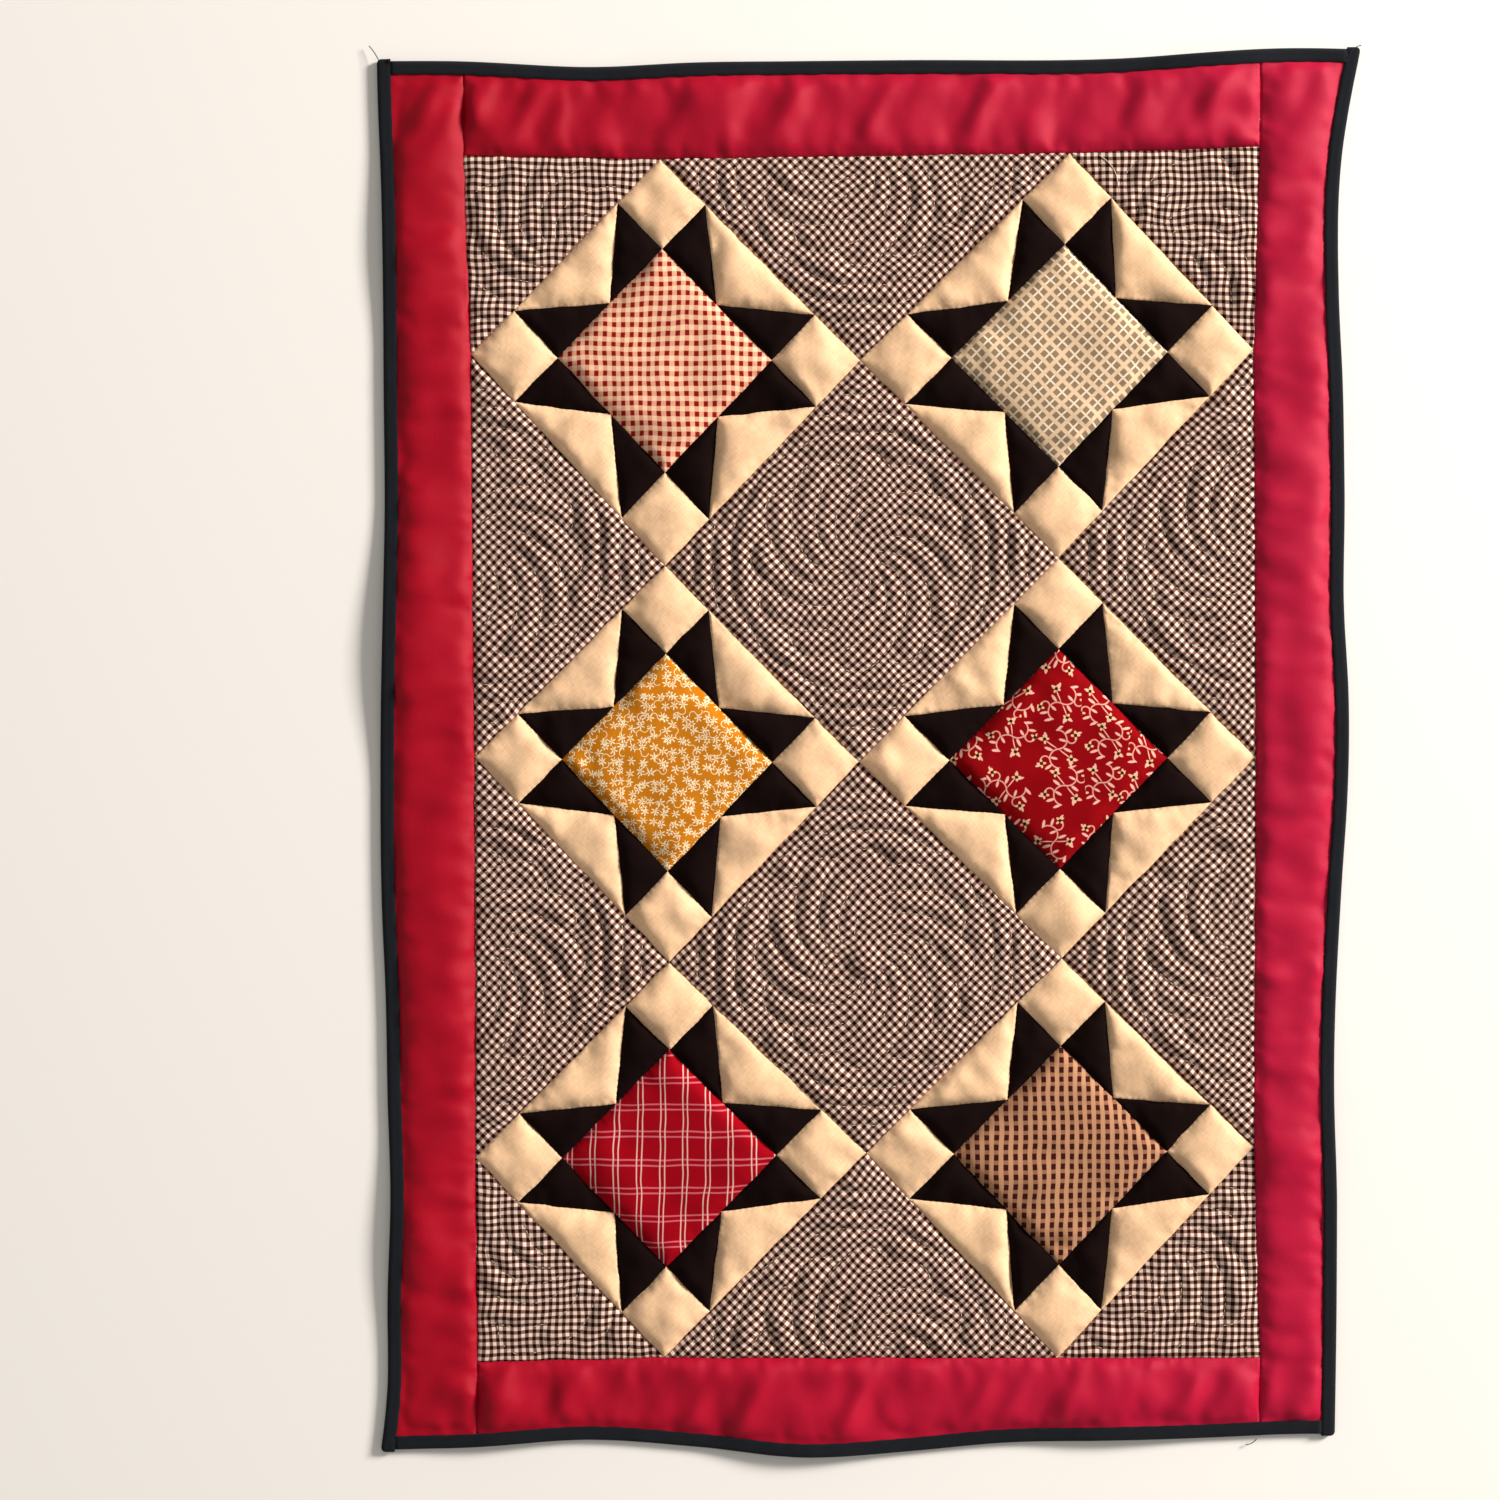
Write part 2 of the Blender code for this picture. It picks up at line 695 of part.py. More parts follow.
def binding_seam(outline):
    """The line where the binding is sewn down on a border, as runs inside its outline."""
    kept = []
    for side, fine_run in around_edge(BINDING_WIDTH + GAP, FINE_STATION).items():
        along_axis = 1 if side in ("left", "right") else 0
        for run in kept_inside(fine_run, outline, BINDING_SEAM_CLEAR):
            place = run[:, along_axis] / STATION
            wanted = np.abs(place - np.round(place)) < 1e-4
            wanted[[0, -1]] = True
            kept.append(run[wanted])
    return kept


def add_border(side):
    """One border strip, with its creases, thin where the binding is sewn over it."""
    outline = shrunk(border_outline(side), GAP / 2)
    edge = binding_seam(outline)
    creases = crease_lines(side)
    drawn = [run for line, _ in creases for run in kept_inside(line, outline, STITCH_CLEAR)]
    fill = scattered(outline, [*edge, *drawn], FILL_STEP["border"], CLEAR_OF_LINES)
    if side in ("left", "right"):
        ends = [(side, "bottom"), (side, "top")]
    else:
        ends = [("left", side), ("right", side)]
    seam = [border_seam(side), *(seam_to_edge(*pair) for pair in ends)]
    dent = creased(creases)

    def height(x, y):
        points = np.stack((x, y), axis=1)
        past_binding = edge_distance(x, y) - BINDING_WIDTH - GAP
        away = np.minimum(distance_to(seam, points), np.maximum(past_binding, 0.0))
        rise = swell("border", away)
        return border_floor(x, y) + TOP_SEAM + np.maximum(rise - dent(points), 0.0)

    upper = triangles(outline, [*edge, *drawn], fill)
    lower = triangles(outline, (), margin_points(outline))
    solid_sheet(f"border_{side}", "border_red", upper, lower, height, border_floor)


def add_body():
    """The quilted body: back cloth and filling as one soft slab, flat where it lies."""
    outline = np.vstack([run[:-1] for run in around_edge(EDGE_INSET).values()])
    seams = [seam_run(border_seam(side)) for side in EDGE_STRAY]
    rows = margin_points(outline)
    rows = rows[distance_to(seams, rows) > CLEAR_OF_LINES]
    net = triangles(outline, seams, rows)
    solid_sheet("quilted_body", "back_muslin", net, net, body_top, underside)


def binding_section():
    """The binding's folded section: (in from the outer face, height over the body's lower face)."""
    inner_top = BODY_EDGE + BORDER_GAP + TOP_SEAM + GAP
    inner_low = -GAP
    top, low = inner_top + BINDING_CLOTH, inner_low - BINDING_CLOTH
    return (
        (BINDING_WIDTH, low),
        (BINDING_ROUND, low),
        (0.0, low + BINDING_ROUND),
        (0.0, top - BINDING_ROUND),
        (BINDING_ROUND, top),
        (BINDING_WIDTH, top),
        (BINDING_WIDTH, inner_top),
        (BINDING_CLOTH, inner_top),
        (BINDING_CLOTH, inner_low),
        (BINDING_WIDTH, inner_low),
    )


def add_binding(side):
    """One binding strip, folded over the edge. The left and right strips lap the other two's ends."""
    upright = side in ("left", "right")
    lapped = BINDING_WIDTH + 2 * GAP
    if upright:
        low = edge_corner(side, "bottom", 0.0)[1] - BINDING_EAR
        high = edge_corner(side, "top", 0.0)[1] + BINDING_EAR
    else:
        low = edge_corner("left", side, 0.0)[0] + lapped
        high = edge_corner("right", side, 0.0)[0] - lapped
    outer = edge_run(side, low, high, 0.0)
    inward = {"left": (1, 0), "right": (-1, 0), "top": (0, -1), "bottom": (0, 1)}[side]
    section = binding_section()
    bm = bmesh.new()
    rings = []
    for i, (x, y) in enumerate(outer):
        base = float(underside(x + inward[0] * BINDING_WIDTH / 2, y + inward[1] * BINDING_WIDTH / 2))
        ring = []
        for a, z in section:
            across, along = x + inward[0] * a, y + inward[1] * a
            if not upright and i == 0:
                across = edge_place("left", along) + lapped
            if not upright and i == len(outer) - 1:
                across = edge_place("right", along) - lapped
            ring.append(bm.verts.new((across, along, base + z)))
        rings.append(ring)
    for ring, following in zip(rings[:-1], rings[1:]):
        for i, vertex in enumerate(ring):
            j = (i + 1) % len(ring)
            bm.faces.new((vertex, ring[j], following[j], following[i]))
    bm.faces.new(rings[0][::-1])
    bm.faces.new(rings[-1])
    bmesh.ops.recalc_face_normals(bm, faces=bm.faces)
    finished(f"binding_{side}", "binding_black", bm)


def build_quilt():
    for obj in list(bpy.data.objects):
        bpy.data.objects.remove(obj)
    add_body()
    prints = iter(BLOCK_PRINTS)
    for row in range(1, GRID_ROWS, 2):
        for column in range(1, GRID_COLUMNS, 2):
            cloth = next(prints)
            add_field_piece(f"star_block_{cloth}", "block", cloth, row, column)
    for row in (2, 4):
        add_field_piece(f"plain_square_{row // 2}", "gingham", "gingham", row, 2)
        add_field_piece(f"side_triangle_left_{row // 2}", "gingham", "gingham", row, 0)
        add_field_piece(f"side_triangle_right_{row // 2}", "gingham", "gingham", row, GRID_COLUMNS - 1)
    for row, level in ((0, "top"), (GRID_ROWS - 1, "bottom")):
        add_field_piece(f"side_triangle_{level}", "gingham", "gingham", row, 2)
        for column, upright in ((0, "left"), (GRID_COLUMNS - 1, "right")):
            add_field_piece(f"corner_triangle_{level}_{upright}", "gingham", "gingham", row, column)
    for side in EDGE_STRAY:
        add_border(side)
        add_binding(side)


build_quilt()
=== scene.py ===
# %% [markdown]
# # A pieced and quilted crib quilt
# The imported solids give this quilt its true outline, puffs and creases. This lesson turns them into
# cloth: the whole top is simulated once as a single sheet that is sewn down along its seams and
# quilting lines, and each patch is then cut from that sheet and given its own woven finish.

# %% Load the frame
import json
import math

import bmesh
import bpy
import numpy as np
from mathutils.bvhtree import BVHTree
from mathutils.geometry import delaunay_2d_cdt
from mathutils.kdtree import KDTree
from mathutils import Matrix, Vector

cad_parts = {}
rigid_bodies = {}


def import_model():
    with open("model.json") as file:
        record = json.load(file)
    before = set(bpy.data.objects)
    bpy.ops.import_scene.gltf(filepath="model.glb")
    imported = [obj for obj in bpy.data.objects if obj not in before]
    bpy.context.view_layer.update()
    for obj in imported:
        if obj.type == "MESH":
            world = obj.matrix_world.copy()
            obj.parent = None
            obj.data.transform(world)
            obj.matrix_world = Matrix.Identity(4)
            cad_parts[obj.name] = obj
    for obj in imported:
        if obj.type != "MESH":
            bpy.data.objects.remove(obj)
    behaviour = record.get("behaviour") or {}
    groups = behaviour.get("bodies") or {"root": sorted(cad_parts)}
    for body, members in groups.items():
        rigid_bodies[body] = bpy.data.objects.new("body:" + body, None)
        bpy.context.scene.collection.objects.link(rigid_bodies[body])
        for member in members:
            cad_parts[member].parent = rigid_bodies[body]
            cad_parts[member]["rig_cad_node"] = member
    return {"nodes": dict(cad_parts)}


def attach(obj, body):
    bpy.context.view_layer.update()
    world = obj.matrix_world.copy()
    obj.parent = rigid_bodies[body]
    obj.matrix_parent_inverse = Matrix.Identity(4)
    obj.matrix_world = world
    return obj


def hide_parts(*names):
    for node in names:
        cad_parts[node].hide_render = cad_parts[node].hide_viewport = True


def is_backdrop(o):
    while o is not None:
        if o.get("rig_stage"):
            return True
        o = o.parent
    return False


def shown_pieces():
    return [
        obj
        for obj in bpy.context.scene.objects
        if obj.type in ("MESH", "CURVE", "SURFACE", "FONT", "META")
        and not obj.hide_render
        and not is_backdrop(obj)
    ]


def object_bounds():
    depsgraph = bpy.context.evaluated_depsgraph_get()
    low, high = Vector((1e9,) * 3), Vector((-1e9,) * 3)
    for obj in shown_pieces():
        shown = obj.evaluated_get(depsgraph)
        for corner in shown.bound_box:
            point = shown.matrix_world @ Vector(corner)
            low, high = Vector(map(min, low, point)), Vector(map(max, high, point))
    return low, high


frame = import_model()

MM = 0.001
cad_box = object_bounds()
print("solids:", len(frame["nodes"]))
print("box in mm:", [round(v / MM, 1) for corner in cad_box for v in corner])

# %% [markdown]
# ## Colours and nodes
# Cloth colours are given as sRGB hex codes, as in any paint program. Blender's shaders work
# with linear light, so one function converts them. A second one adds a shader node, sets its
# properties and fills or links its sockets in order, which keeps every material readable.

# %% Colour and node helpers
def linear(code):
    """The linear colour of an sRGB hex code."""
    parts = [int(code[i:i + 2], 16) / 255 for i in (0, 2, 4)]
    return (*(p / 12.92 if p <= 0.04045 else ((p + 0.055) / 1.055) ** 2.4 for p in parts), 1.0)


def put(tree, kind, *values, at=None, **settings):
    """Adds a node: settings are its properties, values fill its shown sockets in order, at by name."""
    made = tree.nodes.new("ShaderNode" + kind)
    for name, value in settings.items():
        setattr(made, name, value)
    shown = [socket for socket in made.inputs if socket.enabled]
    for socket, value in [*zip(shown, values), *((made.inputs[k], v) for k, v in (at or {}).items())]:
        if isinstance(value, bpy.types.Node):
            value = next(output for output in value.outputs if output.enabled)
        if isinstance(value, bpy.types.NodeSocket):
            tree.links.new(value, socket)
        elif value is not None:
            socket.default_value = value
    return made


def new_finish(name):
    """(material, node tree, shader) of a new material."""
    material = bpy.data.materials.new(name)
    material.use_nodes = True
    return material, material.node_tree, material.node_tree.nodes["Principled BSDF"]


# %% [markdown]
# ## Camera, floor and light
# The quilt is seen face on, so the camera looks straight down on it. A large soft panel on the right
# and a dim even sky give the photograph's mild shading: the cloth is a little brighter and paler on
# the right, and the left edge throws the softest of shadows. The red borders also have this paler
# right side painted into their colour.

# %% Camera
VIEW_WIDTH = 952.5 * MM
VIEW_MIDDLE = (-75.1 * MM, 1.4 * MM)
CAMERA_HEIGHT = 1.85
SENSOR = 36.0
scene = bpy.context.scene
bpy.ops.object.select_all(action="DESELECT")
bpy.ops.object.camera_add(location=(*VIEW_MIDDLE, CAMERA_HEIGHT), rotation=(0, 0, 0))
scene.camera = bpy.context.object
scene.camera.data.sensor_width = SENSOR
scene.camera.data.lens = SENSOR * CAMERA_HEIGHT / VIEW_WIDTH
print("lens:", round(scene.camera.data.lens, 1), "mm")

# %% Floor and light
KEY_PLACE, KEY_SIZE, KEY_POWER = (4.4, 2.2, 2.2), 1.3, 545.0
SKY_STRENGTH = 0.39
FLOOR_SIZE, FLOOR_ROUGHNESS = 8, 0.9
scene.view_settings.view_transform = "Standard"
bpy.ops.mesh.primitive_plane_add(size=FLOOR_SIZE)
floor = bpy.context.object
floor.name = "floor"
# The floor is board with a matt emulsion paint: chalky pigment, so it scatters light evenly.
board, _, board_shader = new_finish("matt_painted_board")
board_shader.inputs["Base Color"].default_value = linear("f2eee8")
board_shader.inputs["Roughness"].default_value = FLOOR_ROUGHNESS
floor.data.materials.append(board)
floor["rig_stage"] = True

bpy.ops.object.light_add(type="AREA", location=KEY_PLACE)
key = bpy.context.object
key.data.size = KEY_SIZE
key.data.energy = KEY_POWER
key.data.color = linear("fffaf5")[:3]
key.rotation_euler = (-key.location).to_track_quat("-Z", "Y").to_euler()
world = bpy.data.worlds.new("soft_room")
scene.world = world
world.use_nodes = True
world.node_tree.nodes["Background"].inputs["Color"].default_value = linear("fffcf8")
world.node_tree.nodes["Background"].inputs["Strength"].default_value = SKY_STRENGTH

# %% [markdown]
# ## Reading the solids
# Each piece of the top has its outline in the frame, so nothing is measured twice. The outline is
# the rim of the faces that look up. A square or triangle then keeps only the points where its
# outline turns, and those are the corners that a quilter would mark.

# %% Outlines and corners
LOOKS_UP = 0.5
SAME_VERTEX = 0.01 * MM
CORNER_TURN = math.radians(14)
BLOCKS = sorted(name for name in frame["nodes"] if name.startswith("star_block"))
CHECKED = sorted(name for name in frame["nodes"] if name.startswith(("plain", "side", "corner")))
SIDES = ("left", "right", "top", "bottom")
UPRIGHT = ("left", "right")
INWARDS = {"left": 1, "right": -1, "top": -1, "bottom": 1}


def outline_of(name):
    """The rim of a solid's upper faces, anticlockwise, as flat points in metres."""
    bm = bmesh.new()
    bm.from_mesh(frame["nodes"][name].data)
    bmesh.ops.remove_doubles(bm, verts=bm.verts, dist=SAME_VERTEX)
    bm.normal_update()
    follow = {}
    for face in bm.faces:
        for loop in face.loops if face.normal.z > LOOKS_UP else ():
            if sum(f.normal.z > LOOKS_UP for f in loop.edge.link_faces) == 1:
                follow[tuple(loop.vert.co.xy)] = tuple(loop.link_loop_next.vert.co.xy)
    bm.free()
    rim = [min(follow, key=lambda point: point[1])]
    while follow[rim[-1]] != rim[0]:
        rim.append(follow[rim[-1]])
    return np.array(rim)


def corners_of(outline):
    """Only the points where an outline turns, from the lowest one."""
    run_in = outline - np.roll(outline, 1, axis=0)
    run_out = np.roll(outline, -1, axis=0) - outline
    cross = run_in[:, 0] * run_out[:, 1] - run_in[:, 1] * run_out[:, 0]
    turn = np.abs(np.arctan2(cross, np.sum(run_in * run_out, axis=1)))
    return outline[turn > CORNER_TURN]


OUTLINES = {name: outline_of(name) for name in frame["nodes"] if not name.startswith("binding")}
CORNERS = {name: corners_of(OUTLINES[name]) for name in BLOCKS + CHECKED}
print("corners:", {len(c) for n, c in CORNERS.items() if n in BLOCKS}, "checked pieces:", len(CHECKED))

# %% [markdown]
# ## The bound edge
# The outer edge wanders by a few millimetres and lifts off the floor in soft waves. Both are read
# from the rings of the four binding solids and carried on smoothly between them.

# %% The wavy edge
RING_GAP = 3 * MM
BINDING_WIDTH = 8.5 * MM
BINDING_FOOT = 1.1 * MM


def edge_rings(side):
    """(place along, outer face, height of the body over it) at each ring of a binding solid."""
    mesh = frame["nodes"][f"binding_{side}"].data
    points = np.array([v.co for v in mesh.vertices], float)
    along, across = (1, 0) if side in UPRIGHT else (0, 1)
    order = np.argsort(points[:, along])
    breaks = np.nonzero(np.diff(points[order, along]) > RING_GAP)[0] + 1
    rows = []
    for ring in np.split(points[order], breaks):
        outer = ring[np.argmin(INWARDS[side] * ring[:, across])]
        rows.append((outer[along], outer[across], ring[:, 2].min() + BINDING_FOOT))
    return np.array(rows).T


EDGES = {side: edge_rings(side) for side in SIDES}
print("rings:", {side: EDGES[side].shape[1] for side in SIDES})


# %% Places along the edge
def through(places, heights, at):
    """The height at a place on a smooth curve through the given ones."""
    slopes = np.gradient(heights, places)
    at = np.clip(at, places[0], places[-1])
    i = np.clip(np.searchsorted(places, at, side="right") - 1, 0, len(places) - 2)
    span = places[i + 1] - places[i]
    t = (at - places[i]) / span
    ends = heights[i] * (1 + 2 * t) * (1 - t) ** 2 + heights[i + 1] * (3 - 2 * t) * t**2
    return ends + span * t * (1 - t) * (slopes[i] * (1 - t) - slopes[i + 1] * t)


def laid_out(side, across, along, *more):
    """Points from their places across and along a side."""
    return np.stack(((across, along) if side in UPRIGHT else (along, across)) + more, axis=1)


def edge_line(side, along, inset):
    """Points at places along an outer edge, moved in by an inset."""
    return laid_out(side, through(*EDGES[side][:2], along) + INWARDS[side] * inset, along)


def depth_in(points):
    """How far in from the nearest outer edge each flat point lies."""
    depths = []
    for side in SIDES:
        across, along = points.T if side in UPRIGHT else points.T[::-1]
        depths.append(np.abs(through(*EDGES[side][:2], along) - across))
    return np.min(depths, axis=0)


print("the middle lies in by, in mm:", np.round(depth_in(np.zeros((1, 2)))[0] / MM, 1))

# %% [markdown]
# ## Lines that are sewn
# Three kinds of line hold the top down: the seams between patches, the quilting in the checked
# cloth, and the hem of the binding. The star is the traditional one: its points are set out as
# shares of the block's sides. The quilting is a whirl of curved arms that close in rounded tips.
# A quilter marks such a whirl with a template, so here one curve is drawn and turned.

# %% Star patches
STAR_RIM = 0.225


def in_block(corners, u, v):
    """A place in a block, in shares along two of its sides from its lowest corner."""
    down, right, up, left = corners
    return down * (1 - u) * (1 - v) + right * u * (1 - v) + up * u * v + left * (1 - u) * v


def star_patches():
    """The star's 17 patches by cloth, each as corners in shares of the block's sides."""
    near, middle, far = STAR_RIM, 0.5, 1 - STAR_RIM
    quarter = {
        "cream": [[(0, 0), (near, 0), (near, near), (0, near)], [(near, 0), (far, 0), (middle, near)]],
        "black": [[(near, 0), (middle, near), (near, near)], [(far, 0), (far, near), (middle, near)]],
    }
    patches = {"print": [[(near, near), (far, near), (far, far), (near, far)]], "cream": [], "black": []}
    for _ in range(4):
        for cloth, shapes in quarter.items():
            patches[cloth] += shapes
            quarter[cloth] = [[(1 - v, u) for u, v in shape] for shape in shapes]
    return patches


STAR = star_patches()
print("patches in a star:", {cloth: len(shapes) for cloth, shapes in STAR.items()})

# %% Lines and outlines
TINY = 1e-12


def walked(line):
    """(length, function that gives the places at some lengths along) of a line."""
    lengths = np.r_[0, np.cumsum(np.linalg.norm(np.diff(line, axis=0), axis=1))]
    return lengths[-1], lambda at: np.stack([np.interp(at, lengths, part) for part in line.T], axis=1)


def respaced(line, step):
    """The same line with points about a step apart."""
    length, place_at = walked(line)
    return place_at(np.linspace(0, length, max(2, round(length / step) + 1)))


def closed(outline):
    """An outline with its first point again at its end."""
    return np.vstack((outline, outline[:1]))


def distance_to(line, points):
    """The distance of each point from a line through points."""
    nearest = np.full(len(points), np.inf)
    for start, end in zip(line[:-1], line[1:]):
        run = end - start
        t = np.clip((points - start) @ run / max(run @ run, TINY), 0, 1)
        nearest = np.minimum(nearest, np.linalg.norm(points - start - t[:, None] * run, axis=1))
    return nearest


def is_inside(outline, points):
    """Whether each point lies inside an outline."""
    inside = np.zeros(len(points), bool)
    for (x0, y0), (x1, y1) in zip(outline, np.roll(outline, -1, axis=0)):
        crosses = (y0 > points[:, 1]) != (y1 > points[:, 1])
        rise = y1 - y0 if y1 != y0 else TINY
        inside ^= crosses & (points[:, 0] < x0 + (points[:, 1] - y0) * (x1 - x0) / rise)
    return inside


def runs_of(line, good, shortest):
    """The runs of a line whose points are all good, if they are longer than the shortest."""
    runs = np.split(np.arange(len(line)), np.nonzero(np.diff(good.astype(int)))[0] + 1)
    return [line[run] for run in runs if good[run[0]] and len(run) > shortest]


# %% Whirls and echo lines
SEWN_STEP = 0.5 * MM
STITCH_CLEAR = 4.5 * MM
WHIRL_ARMS, WHIRL_TWIST = 12, math.radians(78)
WHIRL_HUB, WHIRL_RADIUS, WHIRL_TIP = 12 * MM, 62 * MM, 8 * MM
ECHO_RADII = (81 * MM, 93 * MM, 105 * MM)
ECHO_SCALLOP = 2.2 * MM
ARM_POINTS, ECHO_POINTS = 120, 1200
SHORTEST_RUN = 8


def whirl_middle(corners):
    """A whirl sits in the middle of a square and on the middle of a triangle's long side."""
    if len(corners) == 4:
        return corners.mean(axis=0)
    sides = [(corners[i], corners[(i + 1) % 3]) for i in range(3)]
    start, end = max(sides, key=lambda side: np.linalg.norm(side[1] - side[0]))
    return (start + end) / 2


def quilting_in(name):
    """The quilting lines of one checked piece."""
    middle, outline = whirl_middle(CORNERS[name]), CORNERS[name]
    turn = 2 * math.pi / WHIRL_ARMS
    share = np.linspace(0, 1, ARM_POINTS)
    around = np.linspace(0, 2 * math.pi, ECHO_POINTS)
    lines = []

    def curve(radius, angle):
        places = np.stack((radius * np.cos(angle), radius * np.sin(angle)), axis=1)
        return respaced(middle + places, SEWN_STEP)

    for i in range(WHIRL_ARMS):
        lines.append(curve(WHIRL_HUB + (WHIRL_RADIUS - WHIRL_HUB) * share, i * turn - WHIRL_TWIST * share))
        start = i * turn - WHIRL_TWIST
        lines.append(curve(WHIRL_RADIUS + WHIRL_TIP * np.sin(share * math.pi), start + turn * share))
    for radius in ECHO_RADII:
        lines.append(curve(radius + ECHO_SCALLOP * np.abs(np.sin(around * WHIRL_ARMS / 2)), around))
    runs = []
    for line in lines:
        good = is_inside(outline, line) & (distance_to(closed(outline), line) > STITCH_CLEAR)
        runs += runs_of(line, good, SHORTEST_RUN)
    return runs


QUILTING = {name: quilting_in(name) for name in CHECKED}
quilted_length = sum(len(run) for runs in QUILTING.values() for run in runs) * SEWN_STEP
print("quilting:", round(quilted_length, 1), "m in", sum(map(len, QUILTING.values())), "runs")

# %% All that is sewn
RIM, SEAM, QUILT, HEM, SIDE_HEM = range(5)


def seams_of_block(name):
    """Every side of every patch of a star block."""
    for shapes in STAR.values():
        for shape in shapes:
            yield closed(np.array([in_block(CORNERS[name], u, v) for u, v in shape]))


def sewn_lines():
    """(kind, line) of all that is sewn."""
    for name in CHECKED:
        yield RIM, closed(CORNERS[name])
    for side in SIDES:
        rim = respaced(closed(OUTLINES[f"border_{side}"]), SEWN_STEP)
        for run in runs_of(rim, depth_in(rim) > BINDING_WIDTH, 2):
            yield RIM, run
        low, high = EDGES[side][0][[0, -1]]
        places = np.linspace(low, high, round((high - low) / SEWN_STEP) + 1)
        yield SIDE_HEM if side in UPRIGHT else HEM, edge_line(side, places, BINDING_WIDTH)
    for name in BLOCKS:
        for line in seams_of_block(name):
            yield SEAM, line
    for name in CHECKED:
        for run in QUILTING[name]:
            yield QUILT, run


SEWN_LINES = list(sewn_lines())
print("lines that are sewn:", len(SEWN_LINES))

# %% All sewn lines in one search tree
SAME_PLACE = 0.5 * MM
LINE_GAP = 0.1
AROUND = [(i, j) for i in (-1, 0, 1) for j in (-1, 0, 1)]
sewn_points, sewn_kind, sewn_along = [], [], []
held_cells, offset = set(), 0.0
for kind, line in SEWN_LINES:
    fine = respaced(line, SEWN_STEP)
    cells = [tuple(cell) for cell in np.round(fine / SAME_PLACE).astype(int).tolist()]
    fresh = np.array([cell not in held_cells for cell in cells])
    held_cells.update((x + i, y + j) for (x, y), new in zip(cells, fresh) if new for i, j in AROUND)
    sewn_points.append(fine[fresh])
    sewn_kind.append(np.full(fresh.sum(), kind))
    sewn_along.append(offset + SEWN_STEP * np.nonzero(fresh)[0])
    offset += SEWN_STEP * len(fine) + LINE_GAP
SEWN_POINTS, SEWN_KIND = np.vstack(sewn_points), np.concatenate(sewn_kind)
SEWN_ALONG = np.concatenate(sewn_along)


def search_tree(places, numbers):
    """A tree that finds the nearest of some flat places, by their numbers."""
    tree = KDTree(len(numbers))
    for i in numbers:
        tree.insert((*places[i], 0), i)
    tree.balance()
    return tree


ALL_SEWN = search_tree(SEWN_POINTS, range(len(SEWN_POINTS)))


def nearest(points, tree=ALL_SEWN):
    """(distance, number) of the place in a tree that is nearest to each flat point."""
    found = [tree.find((x, y, 0)) for x, y in points]
    return np.array([f[2] for f in found]), np.array([f[1] for f in found])


OF_KIND = [np.nonzero(SEWN_KIND == kind)[0] for kind in range(5)]
SEWN_BY_KIND = [search_tree(SEWN_POINTS, numbers) for numbers in OF_KIND]
print("sewn places of each kind:", [len(numbers) for numbers in OF_KIND])

# %% [markdown]
# ## The heights of the solids
# A ray is dropped on the solids over every knot of a fine grid, and one is sent up from below for
# the back. The result is softened a little, because the solids have flat facets. Where a ray falls
# into the gap of a seam, its neighbours a third of a millimetre away answer for it.

# %% Rays on the solids
KNOT = 3.0 * MM
RAY_START = 0.1
JITTER = 0.35 * MM
CAST_OVER = ((0, 0), (JITTER, 0), (-JITTER, 0), (0, JITTER), (0, -JITTER))
low, high = np.array(cad_box[0])[:2], np.array(cad_box[1])[:2]
knots_x = np.arange(low[0] - KNOT, high[0] + 2 * KNOT, KNOT)
knots_y = np.arange(low[1] - KNOT, high[1] + 2 * KNOT, KNOT)
KNOTS = np.stack(np.meshgrid(knots_x, knots_y), axis=-1).reshape(-1, 2)
GRID = (len(knots_y), len(knots_x))


def tree_of(names):
    """A ray target of several solids."""
    places, faces = [], []
    for name in names:
        mesh = frame["nodes"][name].data
        first = len(places)
        places += [v.co.copy() for v in mesh.vertices]
        faces += [[first + i for i in face.vertices] for face in mesh.polygons]
    return BVHTree.FromPolygons(places, faces)


TOP_TREE = tree_of([*BLOCKS, *CHECKED, *(f"border_{side}" for side in SIDES)])
BODY_TREE = tree_of(["quilted_body"])


def heights(tree, points, upwards=False):
    """The height of the solids at each flat point, or nothing where no ray hits."""
    start, towards = (-RAY_START, 1) if upwards else (RAY_START, -1)
    found = np.full(len(points), np.nan)
    for i, (x, y) in enumerate(points):
        hits = [tree.ray_cast((x + a, y + b, start), (0, 0, towards))[0] for a, b in CAST_OVER]
        hits = [hit.z for hit in hits if hit]
        if hits:
            found[i] = max(hits)
    return found


print("knots:", GRID)

# %% Heights of the top
SOFTEN = 3
QUILTED_HIGHEST = 3.9 * MM
EVENED = 4


def softened(grid, passes):
    """A grid with each knot eased towards its neighbours."""
    for _ in range(passes):
        for axis in (0, 1):
            wide = np.pad(grid, [(1, 1) if a == axis else (0, 0) for a in (0, 1)], mode="edge")
            before, after = (wide[:-2], wide[2:]) if axis == 0 else (wide[:, :-2], wide[:, 2:])
            grid = (before + 2 * grid + after) / 4
    return grid


